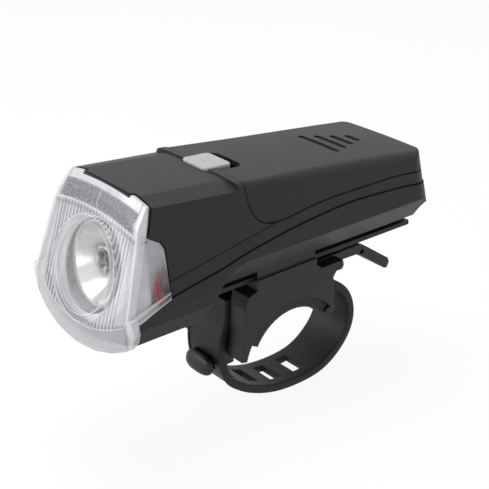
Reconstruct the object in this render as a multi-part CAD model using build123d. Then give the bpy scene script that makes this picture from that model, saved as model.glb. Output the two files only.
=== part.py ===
from build123d import *
import math
import os

os.makedirs("parts", exist_ok=True)

# Handlebar: its axis is the origin of the saved files; below, y and z are lamp datum values
BAR_R = 15.9
BAR_Y = 23.5
BAR_Z = -47.2

# Clearances
RUN_GAP = 0.08
SEAM_GAP = 0.12
WALL = 1.8
FAR = 60.0
TINY = 1e-9

# Lamp body: side walls flare outwards below the top edge
HALF_TOP = 20.0
FLARE_SHARE = 0.13
FLARE_Z = 17.0
LOFT_FLOOR_Z = -30.0
EDGE_Z0 = 16.95
EDGE_SLOPE_SHARE = 0.09
CHAMFER_IN_X = 13.7
CHAMFER_RISE = 1.65
TOP_RISE = 1.9
FRONT_LOFT_YS = (-58.0, 8.0)
COVER_STATIONS = (
    (-2.0, 19.55, 2.4), (12.0, 18.15, 3.4), (28.0, 16.5, 4.3),
    (48.0, 14.4, 4.6), (64.0, 12.6, 4.6), (84.0, 10.2, 4.6),
)
COVER_CROWN = 0.4
ARC_MID_SHARE = 0.293
MIN_ROUND = 0.8
PLAN_REAR_Y = 75.2
SPLIT_MARGIN = 1.0
PLAN_ROUND = 8.0
PLAN_TOP_Z = 40.0
PLAN_LOW_Z = -45.0
PLAN_SLACK = 0.1
REAR_TOP_ARC = ((72.4, 12.6), (75.3, 11.1), (76.4, 8.2))
SCOOP_ARC = ((79.6, -4.2), (76.3, -6.0), (74.9, -9.8))
SCOOP_FOOT = (75.4, -13.4)
BEVEL_TOP = (30.0, 5.26)
BEVEL_FOOT = (16.0, -13.0)
BLOCK_SECTION = ((23.5, -9.0), (23.35, -13.5), (21.9, -18.3), (17.0, -20.3), (10.0, -21.7), (0.0, -22.4))
SHOULDER = (
    (-17.3, -18.5), (-12.9, -11.9), (-11.0, -9.3), (-7.9, -6.6), (-5.4, -5.05), (-2.1, -4.4), (3.7, -3.75),
)
REAR_PRISM_YS = (-14.0, 90.0)

# Seams, in side view
LOW_SEAM = (
    (-44.0, -9.6), (-27.5, -6.7), (-21.0, -5.5), (-9.2, -3.6), (-1.0, -1.7), (7.2, -0.4), (15.7, 0.9),
    (24.4, 1.8), (33.2, 2.55), (42.3, 2.9), (51.6, 2.55), (61.1, 2.1), (73.5, 0.8), (88.0, -1.2),
)
BAND_SEAM = (
    (-44.0, -5.2), (-26.5, -1.8), (-13.0, 0.4), (-6.5, 1.6), (6.6, 3.6), (11.9, 4.6), (30.0, 8.0), (88.0, 8.0),
)
BAND_STEP = 0.25
COVER_SKIN_STEP = 0.05
COVER_SEAM = (
    (0.35, 40.0), (0.35, 17.0), (0.55, 15.0), (1.26, 11.9), (2.55, 9.0), (4.7, 6.4), (7.8, 4.9), (11.9, 4.45),
    (21.2, 5.3), (29.0, 6.0), (37.9, 6.25), (51.6, 6.2), (61.2, 6.0), (73.5, 4.8), (88.0, 3.3),
)
LENS_SEAM = (
    (-31.9, 40.0), (-31.9, 20.4), (-33.2, 15.7), (-34.4, 12.3), (-32.3, 10.9), (-30.5, 10.0), (-29.3, 7.8),
    (-29.1, 4.6), (-29.0, 1.5), (-28.9, -1.7), (-28.6, -4.2), (-28.5, -7.1), (-34.7, -8.9), (-40.3, -10.4),
    (-41.0, -12.6), (-41.0, -40.0),
)
LENS_NOTCH_HALF = 11.3
LENS_NOTCH_DEPTH = 1.3
LENS_NOTCH_SLANT = 0.9
GASKET_T = 0.5
GASKET_IN = 0.45
GASKET_OUT = 1.75

# Front cap
CAP_WALL = 1.8
FACE_Y0 = -41.1
FACE_LEAN_SHARE = 0.293
CHIN_Y = -46.1
CHIN_R = 121.0
CAP_OUTLINE = (
    (0.0, 22.25), (12.0, 21.45), (18.9, 20.15), (19.9, 15.5), (21.3, 9.6), (22.2, 3.4), (22.95, -3.1),
    (23.5, -8.6), (23.6, -13.0), (22.0, -18.5), (17.3, -20.6), (10.0, -22.1), (0.0, -22.9),
)
CHIN_OUTLINE = (
    (0.0, -9.0), (25.3, -9.0), (26.2, -12.2), (25.3, -15.4), (22.6, -18.4), (17.3, -20.9), (10.0, -23.0),
    (0.0, -23.9),
)
CHIN_REAR_Y = -41.2
BEVEL_BASE_Y = -38.0
BEVEL_ARCH_Z = 14.9
BEVEL_ARCH_R = 110.0
BEVEL_RISE = (0.0, 2.5, 3.4)
BEVEL_INNER_DROP = 3.04
LIP_TOP_DROP = 3.45
LIP_LOW_DROP = 5.3
LIP_HALF = 17.0
LIP_YS = (-34.2, -30.6)
LEDGE = ((-28.55, -7.0), (-28.7, -4.9), (-43.5, -8.9), (-43.5, -10.95), (-40.4, -10.35))
LEDGE_HALVES = (23.3, 25.6)
LEDGE_YS = (-28.0, -46.0)
RING_Z = -2.0
RING_R = 15.4
RING_BORE_R = 13.0
RING_PROUD = 0.8
RING_DEPTH = 0.55
FLUTE_PITCH = 1.55
FLUTE_W = 0.9
FLUTE_D = 0.35
FLUTE_HALF = 18.0
FLUTE_Z = (-14.5, 14.5)

# Reflector, light source and heat sink
REF_Z = -2.2
REF_RIM_R = 13.2
REF_RIM_Y = -35.6
REF_HOLE_R = 3.7
REF_BASE_Y = -24.75
REF_T = 1.2
REF_SHIFT = 0.9
REF_TOP_T = 1.63
REF_APEX_Y = -23.25
REF_STEPS = 8
PLATE_BACK = 2.75
PLATE_T = 1.1
PLATE_INSET = 2.55
SKIRT_T = 1.0
SKIRT_REAR_Y = -33.6
BOARD_R = 9.0
BOARD_YS = (-23.5, -22.1)
SINK_YS = (-22.1, -19.7)
SINK_HALF = 13.6
SINK_ZS = (-12.0, 9.0)
SINK_FIN_T = 1.4
SINK_FIN_LEN = 2.4
SINK_FIN_TOP_Z = 4.8
SINK_FIN_XS = (-9.0, -3.0, 3.0, 9.0)
LED_BASE = 3.5
LED_BASE_T = 0.9
LED_DOME_R = 1.6
RIB_X = (12.6, 24.0)
RIB_ZS = (-5.0, 2.0)
RIB_T = 1.6

# Lead wires
WIRE_R = 0.75
RED_PATH = (
    (6.5, -24.35, -6.5), (10.5, -26.3, -8.6), (15.6, -29.6, -7.4), (18.7, -30.2, -1.2), (18.4, -26.5, 4.6),
    (15.4, -20.5, 7.0), (13.0, -15.2, 7.3), (12.6, -12.0, 7.55),
)
BLACK_PATH = (
    (-6.5, -24.35, -6.5), (-10.5, -26.3, -7.6), (-15.4, -29.0, -5.0), (-18.2, -29.0, 0.4), (-18.0, -25.5, 5.0),
    (-15.4, -20.0, 7.0), (-13.0, -15.2, 7.3), (-12.6, -12.0, 7.55),
)

# Circuit board, switch and button
PCB_YS = (-14.0, 13.4)
PCB_HALF = 15.0
PCB_ZS = (8.4, 9.6)
PCB_POST_R = 1.9
PCB_POST_TOP_Z = 18.4
PCB_POSTS = ((-12.0, -10.5), (12.0, -10.5))
PCB_SHELF = (11.4, 14.8, 6.9)
CHIPS = ((-9.0, 6.0, 5.0, 4.0, 1.4), (9.0, 5.0, 3.2, 5.4, 1.8), (8.5, -5.0, 6.2, 3.2, 1.2), (-8.5, -4.0, 4.0, 4.0, 2.2))
SWITCH_Y = 1.9
SWITCH_A = 6.0
SWITCH_TOP_Z = 11.1
STEM_R = 1.5
STEM_TOP_Z = 11.9
PRESS = 0.8
BUTTON_HALF = 5.9
BUTTON_YS = (-3.2, 7.0)
BUTTON_ROUND = 1.7
BUTTON_TOP = ((-3.2, 19.95), (7.0, 19.25))
BUTTON_LOW_Z = 13.3
BUTTON_FLANGE = 1.35
BUTTON_FLANGE_T = 1.05
BUTTON_EDGE_ROUND = 0.6
PLUNGER_R = 1.7
PLUNGER_Z = 12.75
BUTTON_GAP = 0.3
DECK = ((-5.6, 17.9), (0.0, 17.05), (11.7, 15.75), (11.7, 14.65), (0.0, 15.7), (-5.6, 16.3))
DECK_HALF = 8.9
U_CUT_HALF = 7.3
U_CUT_REAR_Y = 10.4
U_CUT_ROUND = 3.2

# Battery bay
WALL_YS = (14.4, 15.8)
WALL_TOP_Z = 15.2
WALL_SPLIT_Z = 4.2
WALL_LOW_Z = -11.0
WALL_OPEN = (9.0, -3.0)
BAY_INSET = 2.4
TRAY_YS = (16.1, 69.5)
TRAY_WALL = 1.6
TRAY_HALF = 18.2
TRAY_ZS = (-3.1, 7.4)
CELL_R = 5.25
CELL_L = 43.7
NUB_R = 1.9
NUB_L = 0.8
CELL_XS = (-11.3, 0.0, 11.3)
CELL_Z = 4.0
CELL_FIT = 0.15
TERMINAL_T = 0.4
TERMINAL_HALF = 4.4
TERMINAL_Z_HALF = 4.2
PLATES = (
    (CELL_XS[0], CELL_XS[0], True), (CELL_XS[1], CELL_XS[2], True),
    (CELL_XS[0], CELL_XS[1], False), (CELL_XS[2], CELL_XS[2], False),
)
PLATE_NAMES = ("contact_plate_plus", "contact_plate_front", "contact_plate_rear", "contact_plate_minus")
SPRING_TURNS = 3.5
SPRING_R = 2.9
SPRING_WIRE_R = 0.35
SUPPORT_YS = (24.0, 44.0, 64.0)
SUPPORT_T = 1.6
SUPPORT_HALF = 15.5

# Cover grip grooves: y, half length
GRIPS = ((46.6, 9.2), (51.6, 7.2), (56.5, 5.2), (61.4, 3.2))
GRIP_W = 2.3
GRIP_D = 0.75

# Housing screws
SCREW_SPOTS = ((-17.0, -22.5), (17.0, -22.5), (-7.0, 72.6), (7.0, 72.6))
SCREW_R = 1.1
SCREW_BORE_R = 1.15
SCREW_HEAD_R = 2.1
SCREW_HEAD_T = 1.6
SCREW_HEAD_FIT = 0.25
SCREW_HEAD_ZS = (-16.6, -16.6, -13.2, -13.2)
SCREW_TIP_ZS = (-1.0, -1.0, 3.6, 3.6)
SCREW_SLOT = (0.5, 2.6, 0.7)
BOSS_R = 2.7
BOSS_TOP_ZS = (1.0, 1.0, 5.0, 5.0)

# Rail of the lamp and channel of the bracket
WEB_HALF = 11.8
FLANGE_HALF = 13.6
FLANGE_ZS = (-17.4, -15.9)
RAIL_YS = (-9.0, 76.0)
RAIL_FRONT_Y = -12.5
WEB_REAR_SETBACK = 0.6
CATCH_NOTCH = (45.6, 50.2, 5.6)
CHANNEL_YS = (8.9, 32.2)
CHANNEL_OUT_HALF = 15.3
WALL_ROOT = 1.0
LIP_TOP_Z = -13.35
BASE_HALF = 16.0
BASE_OUTLINE = (
    (8.7, -16.2), (32.4, -15.9), (32.5, -18.3), (34.9, -20.0), (43.8, -19.9), (44.3, -21.7), (43.6, -23.0),
    (41.2, -23.0), (39.9, -24.6), (40.8, -37.0), (38.0, -38.1), (36.1, -35.2),
)
BASE_FRONT = (
    (2.3, -42.4), (2.2, -42.0), (2.6, -38.9), (3.2, -34.6), (3.5, -24.8), (5.0, -20.7), (8.4, -19.6),
)
PAD_R = 19.6
PAD_FIT = 0.05
PAD_END_SLACK = 0.4
PAD_ARC = (40.0, 152.0)
PAD_HALF = 15.0
ARC_STEPS = 24
LEG_ARC = (152.4, 183.0)
LEG_R = 16.5
LEG_OUT_R = 22.1
LEG_HALF = 6.0
FRONT_SLOT = (
    (-12.0, -18.7), (5.5, -18.7), (5.5, -26.0), (4.4, -36.0), (3.4, -44.0), (3.5, -46.0), (4.1, -48.5), (5.2, -51.0),
    (-12.0, -52.0),
)
STRAP_ROOM_HALF = 8.65
POCKET = ((3.0, -19.9), (30.5, -19.9), (30.5, -23.0), (23.0, -25.2), (3.0, -25.2))
POCKET_HALF = 7.4
LEVER_ROOM = ((34.9, -17.0), (46.0, -17.0), (46.0, -24.4), (34.9, -24.4))
LEVER_ROOM_HALF = 12.35
ROOT_ROOM = ((32.7, -26.0), (46.0, -26.0), (46.0, -45.0), (31.0, -45.0), (31.0, -31.5), (32.7, -31.5))
NECK = ((4.2, -45.8), (-2.4, -45.8), (-2.4, -48.2), (4.2, -48.2))
NECK_HALF = 4.2
HOOK_HEAD = ((-1.3, -44.2), (-4.6, -43.2), (-6.7, -44.2), (-7.2, -46.6), (-5.6, -50.6), (-3.4, -52.6), (-1.6, -52.2), (-1.3, -49.0))
HOOK_ROUND = 1.1

# Release lever
LEVER_HALF = 12.0
LEVER_PIN_Y = 37.6
LEVER_PIN_Z = -21.7
LEVER_PIN_R = 0.9
LEVER_PIN_HALF = 15.0
LEVER_BOSS_R = 2.1
LEVER_PROFILE = (
    (37.6, -19.6), (54.9, -19.2), (57.0, -20.1), (68.6, -28.2), (69.3, -29.8), (68.3, -31.8), (67.0, -31.5),
    (56.0, -23.6), (54.0, -22.5), (48.0, -22.4), (37.6, -23.7),
)
LEVER_NOTCH = (56.2, -22.2, 0.9)
LEVER_NOTCH_IN = 1.2
TOOTH = ((45.9, -19.9), (46.2, -17.85), (47.4, -17.75), (49.8, -19.9))
TOOTH_HALF = 5.2

# Strap
STRAP_HALF = 8.2
STRAP_T = 2.5
STRAP_RIM_W = 1.1
STRAP_RIM_T = 0.45
STRAP_PATH = (
    (37.6, -28.7), (42.0, -29.9), (47.4, -32.9), (53.4, -38.0), (56.4, -43.4), (57.0, -48.2), (55.5, -53.2),
    (52.4, -57.7), (48.0, -61.3), (41.3, -63.7), (34.5, -64.8), (28.0, -65.0), (22.5, -64.7), (17.6, -63.6),
    (13.6, -61.8), (10.0, -59.1), (6.4, -55.2), (3.6, -50.9), (1.75, -46.4), (1.6, -41.3), (2.45, -34.5),
    (3.15, -28.6), (3.5, -24.0),
)
STRAP_SLOT_W = 9.3
STRAP_SLOT_L = 4.1
STRAP_PITCH = 7.6
STRAP_HOOK_Z = -47.25
STRAP_SLOTS_UP = 2
STRAP_SLOTS_DOWN = 5
SAMPLES = 600
STRIP_STEPS = 50
HOOK_FIND = (6.0, 0.4)
STRAP_CUT_T = 10.0
EYE_Y = 36.0
EYE_Z = -28.75
EYE_R = 2.55
EYE_PIN_R = 1.4
EYE_PIN_HALF = 13.2


def yz_prism(points, half, x_mid=0.0):
    face = Plane.YZ * make_face(Polyline(*points, close=True))
    return Pos(x_mid, 0, 0) * extrude(face, amount=half, both=True)


def xz_face(points, y):
    return Plane.XZ.offset(-y) * make_face(Polyline(*points, close=True))


def xz_prism(points, y_a, y_b):
    return extrude(xz_face(points, y_b), amount=y_b - y_a)


def mirrored(points):
    return list(points) + [(-x, z) for x, z in reversed(points) if x > 0]


def inset_poly(points, t):
    # moves every side of a polygon inwards by t
    if t == 0:
        return list(points)
    n = len(points)
    area = sum(points[i][0] * points[(i + 1) % n][1] - points[(i + 1) % n][0] * points[i][1] for i in range(n))
    sign = 1.0 if area > 0 else -1.0
    moved = []
    for i in range(n):
        (ax, az), (bx, bz) = points[i], points[(i + 1) % n]
        length = math.hypot(bx - ax, bz - az)
        nx, nz = -(bz - az) / length * sign * t, (bx - ax) / length * sign * t
        moved.append(((ax + nx, az + nz), (bx + nx, bz + nz)))
    result = []
    for i in range(n):
        (p, q), (r, s) = moved[i - 1], moved[i]
        d1, d2 = (q[0] - p[0], q[1] - p[1]), (s[0] - r[0], s[1] - r[1])
        cross = d1[0] * d2[1] - d1[1] * d2[0]
        if abs(cross) < TINY:
            result.append(r)
            continue
        k = ((r[0] - p[0]) * d2[1] - (r[1] - p[1]) * d2[0]) / cross
        result.append((p[0] + d1[0] * k, p[1] + d1[1] * k))
    return result


def box_at(x_a, x_b, y_a, y_b, z_a, z_b):
    size = (abs(x_b - x_a), abs(y_b - y_a), abs(z_b - z_a))
    return Pos((x_a + x_b) / 2, (y_a + y_b) / 2, (z_a + z_b) / 2) * Box(*size)


def z_pin(x, y, z_a, z_b, r):
    return Pos(x, y, (z_a + z_b) / 2) * Cylinder(r, abs(z_b - z_a))


def x_pin(y, z, half, r):
    return Pos(0, y, z) * Rot(0, 90, 0) * Cylinder(r, 2 * half)


def half_at(z, t=0.0):
    return HALF_TOP + FLARE_SHARE * (FLARE_Z - z) - t


def front_section(y, t):
    low = (half_at(LOFT_FLOOR_Z, t), LOFT_FLOOR_Z)
    z_edge = EDGE_Z0 - EDGE_SLOPE_SHARE * y
    edge = (half_at(z_edge, t), z_edge - t)
    inner = (CHAMFER_IN_X, z_edge + CHAMFER_RISE - t)
    top = (0, z_edge + TOP_RISE - t)
    flip = [(-p[0], p[1]) for p in (inner, edge, low)]
    lines = [Polyline((-low[0], low[1]), low, edge, inner), ThreePointArc(inner, top, flip[0]), Polyline(*flip)]
    return Plane.XZ.offset(-y) * make_face(lines)


def cover_section(y, z_top, r, t):
    r = max(MIN_ROUND, r - t)
    zt = z_top - t
    low = (half_at(LOFT_FLOOR_Z, t), LOFT_FLOOR_Z)
    z_side = zt - COVER_CROWN - r
    side = half_at(z_side, t)
    bottom = (side, z_side)
    middle = (side - ARC_MID_SHARE * r, zt - COVER_CROWN - ARC_MID_SHARE * r)
    inner = (side - r, zt - COVER_CROWN)
    flip = [(-p[0], p[1]) for p in (inner, middle, bottom, low)]
    lines = [
        Polyline((-low[0], low[1]), low, bottom),
        ThreePointArc(bottom, middle, inner),
        ThreePointArc(inner, (0, zt), flip[0]),
        ThreePointArc(flip[0], flip[1], flip[2]),
        Line(flip[2], flip[3]),
    ]
    return Plane.XZ.offset(-y) * make_face(lines)


def plan_face(z, t):
    grow = FLARE_SHARE * (FLARE_Z - z) - t
    half, rear = HALF_TOP + PLAN_SLACK + grow, PLAN_REAR_Y + grow
    face = make_face(Polyline((-half, -FAR), (half, -FAR), (half, rear), (-half, rear), close=True))
    corners = face.vertices().group_by(Axis.Y)[-1]
    return Pos(0, 0, z) * fillet(corners, PLAN_ROUND - t / 2)


def under_keep(t):
    # everything above the bevelled rear belly or above the deeper front block
    rear = [(BEVEL_TOP[0], FAR), BEVEL_TOP, BEVEL_FOOT, (-BEVEL_FOOT[0], BEVEL_FOOT[1]), (-BEVEL_TOP[0], BEVEL_TOP[1])]
    rear.append((-BEVEL_TOP[0], FAR))
    keep_rear = xz_prism(inset_poly(rear, t), *REAR_PRISM_YS)
    block = mirrored([(BEVEL_TOP[0], FAR), (BEVEL_TOP[0], BLOCK_SECTION[0][1])] + list(BLOCK_SECTION))
    keep_block = xz_prism(inset_poly(block, t), -FAR, SHOULDER[-1][0] + SPLIT_MARGIN)
    side = [(-FAR, FAR), (-FAR, -FAR), (SHOULDER[0][0], -FAR)] + list(SHOULDER) + [(SHOULDER[-1][0], FAR)]
    keep_side = yz_prism(inset_poly(side, t), FAR)
    return keep_rear + (keep_block & keep_side)


def rear_cuts(t):
    a, m, b = [(y - t, z - t) for y, z in REAR_TOP_ARC]
    top = make_face([ThreePointArc(a, m, b), Polyline(b, (FAR * 2, b[1]), (FAR * 2, FAR), (a[0], FAR), a)])
    c, n, d = [(y - t, z) for y, z in SCOOP_ARC]
    foot = (SCOOP_FOOT[0] - t, SCOOP_FOOT[1])
    low = make_face(
        [ThreePointArc(c, n, d), Polyline(d, foot, (foot[0], -FAR), (FAR * 2, -FAR), (FAR * 2, c[1]), c)]
    )
    return [extrude(Plane.YZ * f, amount=FAR, both=True) for f in (top, low)]


def plan_keep(t):
    return loft([plan_face(PLAN_TOP_Z, t), plan_face(PLAN_LOW_Z, t)], ruled=True)


ENVS = {}


def front_env(t):
    if ("front", t) not in ENVS:
        body = loft([front_section(y, t) for y in FRONT_LOFT_YS], ruled=True)
        ENVS["front", t] = body & under_keep(t)
    return ENVS["front", t]


def rear_env(t):
    if ("rear", t) not in ENVS:
        body = loft([cover_section(y, z, r, t) for y, z, r in COVER_STATIONS], ruled=True)
        body = body & plan_keep(t)
        for cut in rear_cuts(t):
            body = body - cut
        ENVS["rear", t] = body & under_keep(t)
    return ENVS["rear", t]


def seam_region_below(seam, drop=0.0):
    points = [(y, z - drop) for y, z in seam]
    wire = [Spline(*points), Polyline(points[-1], (points[-1][0], -FAR), (points[0][0], -FAR), points[0])]
    return extrude(Plane.YZ * make_face(wire), amount=FAR, both=True)


def cover_region(gap):
    points = [(y + gap, z + gap) for y, z in COVER_SEAM]
    curve = Spline(*points[1:])
    close = Polyline(points[-1], (points[-1][0], FAR), (points[0][0], FAR), points[1])
    return extrude(Plane.YZ * make_face([curve, close]), amount=FAR, both=True)


def lens_region(shift):
    # everything in front of the cap's rear edge moved back by shift
    points = [(y + shift, z) for y, z in LENS_SEAM]
    face = list(points) + [(-FAR, points[-1][1]), (-FAR, points[0][1])]
    region = yz_prism(face, FAR)
    rear = LENS_SEAM[0][0] + shift
    depth = rear - LENS_NOTCH_DEPTH
    near, far = LENS_NOTCH_HALF - shift, LENS_NOTCH_HALF + LENS_NOTCH_SLANT - shift
    plan = make_face(Polyline((-near, depth), (near, depth), (far, rear), (-far, rear), close=True))
    return region - extrude(Pos(0, 0, LENS_SEAM[2][1]) * plan, amount=FAR)


def bevel_tool(drop):
    # half space above the arched top bevel of the cap
    z0 = BEVEL_ARCH_Z - drop
    z_side = z0 - (BEVEL_ARCH_R - math.sqrt(BEVEL_ARCH_R ** 2 - BEVEL_TOP[0] ** 2))
    left, right = (-BEVEL_TOP[0], z_side), (BEVEL_TOP[0], z_side)
    face = make_face([ThreePointArc(left, (0, z0), right), Polyline(right, (right[0], FAR), (left[0], FAR), left)])
    placed = Plane.XZ.offset(-BEVEL_BASE_Y) * face
    return extrude(placed, amount=FAR, dir=BEVEL_RISE)


def face_keep(back):
    # half space behind the leaning front face, moved back square to it
    shift = back * math.sqrt(1 + FACE_LEAN_SHARE ** 2)
    low, high = -FAR, FAR
    points = [
        (FACE_Y0 + FACE_LEAN_SHARE * low + shift, low), (FACE_Y0 + FACE_LEAN_SHARE * high + shift, high),
        (FAR * 2, high), (FAR * 2, low),
    ]
    return yz_prism(points, FAR)


def chin_keep(back):
    return Pos(0, CHIN_Y + CHIN_R, 0) * Cylinder(CHIN_R - back, FAR * 2)


def face_plane(back=0.0):
    lean = math.degrees(math.atan(FACE_LEAN_SHARE))
    y = FACE_Y0 + FACE_LEAN_SHARE * RING_Z
    plane = Plane(origin=(0, y, RING_Z), x_dir=(1, 0, 0), z_dir=(0, -1, 0)).rotated((-lean, 0, 0))
    return plane.offset(-back)


def ledge_plan():
    near, far = LEDGE_HALVES
    y_a, y_b = LEDGE_YS
    face = make_face(Polyline((near, y_a), (far, y_b), (-far, y_b), (-near, y_a), close=True))
    return extrude(face, amount=FAR, both=True)


def make_front_lens():
    main = xz_prism(mirrored(CAP_OUTLINE), -FAR, LENS_SEAM[11][0] + SPLIT_MARGIN)
    main = main & lens_region(-SEAM_GAP)
    chin = xz_prism(mirrored(CHIN_OUTLINE), -FAR, CHIN_REAR_Y)
    ledge = yz_prism(LEDGE, FAR) & ledge_plan()
    cap = (main + chin + ledge) & face_keep(0.0) & chin_keep(0.0)
    cap = cap - bevel_tool(0.0)
    hollow = xz_prism(inset_poly(mirrored(CAP_OUTLINE), CAP_WALL), -FAR, -CAP_WALL)
    hollow = hollow & face_keep(CAP_WALL) & chin_keep(CAP_WALL)
    hollow = hollow - bevel_tool(BEVEL_INNER_DROP)
    cap = cap - hollow
    plane = face_plane()
    ring = extrude(plane * (Circle(RING_R) - Circle(RING_BORE_R)), amount=RING_PROUD)
    dish = extrude(plane * Circle(RING_BORE_R), amount=-RING_DEPTH)
    cap = cap + ring - dish
    inner = face_plane(CAP_WALL)
    count = int(FLUTE_HALF // FLUTE_PITCH)
    grooves = []
    for i in range(-count, count + 1):
        x = i * FLUTE_PITCH
        for sign in (1, -1):
            reach = math.sqrt(RING_R ** 2 - x ** 2) if abs(x) < RING_R else 0.0
            end = FLUTE_Z[1] - RING_Z if sign > 0 else RING_Z - FLUTE_Z[0]
            if end - reach < FLUTE_PITCH:
                continue
            mid = sign * (reach + end) / 2
            cut = Polyline((-FLUTE_W / 2, 0), (FLUTE_W / 2, 0), (0, FLUTE_D), close=True)
            bar = extrude(Plane.XZ * make_face(cut), amount=(end - reach) / 2, both=True)
            grooves.append(inner.location * Pos(x, mid, 0) * bar)
    for groove in grooves:
        cap = cap - groove
    return cap


def make_lens_gasket():
    band = lens_region(GASKET_T) - lens_region(0.0)
    ring = front_env(GASKET_IN) - front_env(GASKET_OUT)
    return ring & band


def make_reflector():
    focus4 = (REF_RIM_R ** 2) / (REF_APEX_Y - REF_RIM_Y)
    inner = []
    for i in range(REF_STEPS + 1):
        r = REF_HOLE_R + (REF_RIM_R - REF_HOLE_R) * i / REF_STEPS
        inner.append((REF_APEX_Y - r * r / focus4, REF_Z + r))
    outer = [(y + REF_SHIFT, z + REF_SHIFT) for y, z in inner]
    start_y = REF_BASE_Y + REF_T
    front_y = FACE_Y0 + FACE_LEAN_SHARE * (REF_Z - REF_RIM_R) - REF_T
    profile = [
        Line((inner[0][0], inner[0][1]), (start_y, inner[0][1])),
        Line((start_y, inner[0][1]), (start_y, outer[0][1] + REF_T)),
        Line((start_y, outer[0][1] + REF_T), outer[1]),
        Spline(*outer[1:]),
        Polyline(outer[-1], (front_y, outer[-1][1]), (front_y, inner[-1][1]), inner[-1]),
        Spline(*reversed(inner)),
    ]
    bowl = revolve(Plane.YZ * make_face(profile), axis=Axis((0, 0, REF_Z), (0, 1, 0)), revolution_arc=360)
    bowl = bowl & face_keep(PLATE_BACK)
    outline = inset_poly(mirrored(CAP_OUTLINE), PLATE_INSET)
    block = xz_prism(outline, -FAR, SKIRT_REAR_Y) & face_keep(PLATE_BACK) & chin_keep(PLATE_BACK)
    block = block - bevel_tool(LIP_LOW_DROP + SEAM_GAP * 2)
    hollow = xz_prism(inset_poly(outline, SKIRT_T), -FAR, 0.0) & face_keep(PLATE_BACK + PLATE_T)
    hollow = hollow & chin_keep(PLATE_BACK + PLATE_T)
    hollow = hollow - bevel_tool(LIP_LOW_DROP + SEAM_GAP * 2 + REF_TOP_T)
    bore = Pos(0, REF_RIM_Y, REF_Z) * Rot(90, 0, 0) * Cylinder(REF_RIM_R + REF_T / 2, FAR)
    return (block - hollow - bore) + bowl


def y_disc(z, r, y_a, y_b, x=0.0):
    return Pos(x, (y_a + y_b) / 2, z) * Rot(90, 0, 0) * Cylinder(r, abs(y_b - y_a))


def make_led_board():
    return y_disc(REF_Z, BOARD_R, *BOARD_YS)


def make_led():
    base_y = BOARD_YS[0] - LED_BASE_T
    base = box_at(-LED_BASE / 2, LED_BASE / 2, base_y, BOARD_YS[0], REF_Z - LED_BASE / 2, REF_Z + LED_BASE / 2)
    dome = Pos(0, base_y, REF_Z) * Sphere(LED_DOME_R)
    return base + (dome - box_at(-FAR, FAR, base_y, FAR, -FAR, FAR))


def make_heat_sink():
    sink = box_at(-SINK_HALF, SINK_HALF, *SINK_YS, *SINK_ZS)
    for x in SINK_FIN_XS:
        sink += box_at(x, x + SINK_FIN_T, SINK_YS[1], SINK_YS[1] + SINK_FIN_LEN, SINK_ZS[0], SINK_FIN_TOP_Z)
    return sink


def make_wire(path):
    line = Spline(*path)
    section = Plane(origin=line @ 0, z_dir=line % 0) * Circle(WIRE_R)
    return sweep(section, path=line)


def button_hole(grow):
    y_a, y_b = BUTTON_YS
    face = Pos(0, (y_a + y_b) / 2, 0) * RectangleRounded(
        2 * (BUTTON_HALF + grow), y_b - y_a + 2 * grow, BUTTON_ROUND + grow / 2
    )
    return face


def make_button():
    body = extrude(Pos(0, 0, BUTTON_LOW_Z) * button_hole(0.0), amount=FAR)
    (y_a, z_a), (y_b, z_b) = BUTTON_TOP
    slope = (z_b - z_a) / (y_b - y_a)
    keep = [(-FAR, z_a + slope * (-FAR - y_a)), (FAR, z_a + slope * (FAR - y_a)), (FAR, -FAR), (-FAR, -FAR)]
    body = body & yz_prism(keep, FAR)
    body = fillet(body.faces().sort_by(Axis.Z)[-1].edges(), BUTTON_EDGE_ROUND)
    flange = extrude(Pos(0, 0, BUTTON_LOW_Z) * button_hole(BUTTON_FLANGE), amount=BUTTON_FLANGE_T)
    mid = sum(BUTTON_YS) / 2
    return body + flange + z_pin(0, mid, PLUNGER_Z, BUTTON_LOW_Z + PRESS, PLUNGER_R)


def make_circuit_board():
    board = box_at(-PCB_HALF, PCB_HALF, *PCB_YS, *PCB_ZS)
    for x, y, a, b, h in CHIPS:
        board += box_at(x - a / 2, x + a / 2, y - b / 2, y + b / 2, PCB_ZS[1], PCB_ZS[1] + h)
    return board


def make_switch():
    half = SWITCH_A / 2
    body = box_at(-half, half, SWITCH_Y - half, SWITCH_Y + half, PCB_ZS[1], SWITCH_TOP_Z)
    return body + z_pin(0, SWITCH_Y, SWITCH_TOP_Z, STEM_TOP_Z, STEM_R)


def sink_ribs():
    ribs = None
    for sign in (1, -1):
        for y_a, y_b in ((SINK_YS[0] - RIB_T - SEAM_GAP, SINK_YS[0]), (SINK_YS[1], SINK_YS[1] + RIB_T)):
            rib = box_at(sign * RIB_X[0], sign * RIB_X[1], y_a, y_b, *RIB_ZS)
            ribs = rib if ribs is None else ribs + rib
    return ribs


def screw_bosses():
    bosses = None
    for (x, y), top_z in zip(SCREW_SPOTS, BOSS_TOP_ZS):
        boss = z_pin(x, y, -FAR, top_z, BOSS_R)
        bosses = boss if bosses is None else bosses + boss
    return bosses


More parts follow.
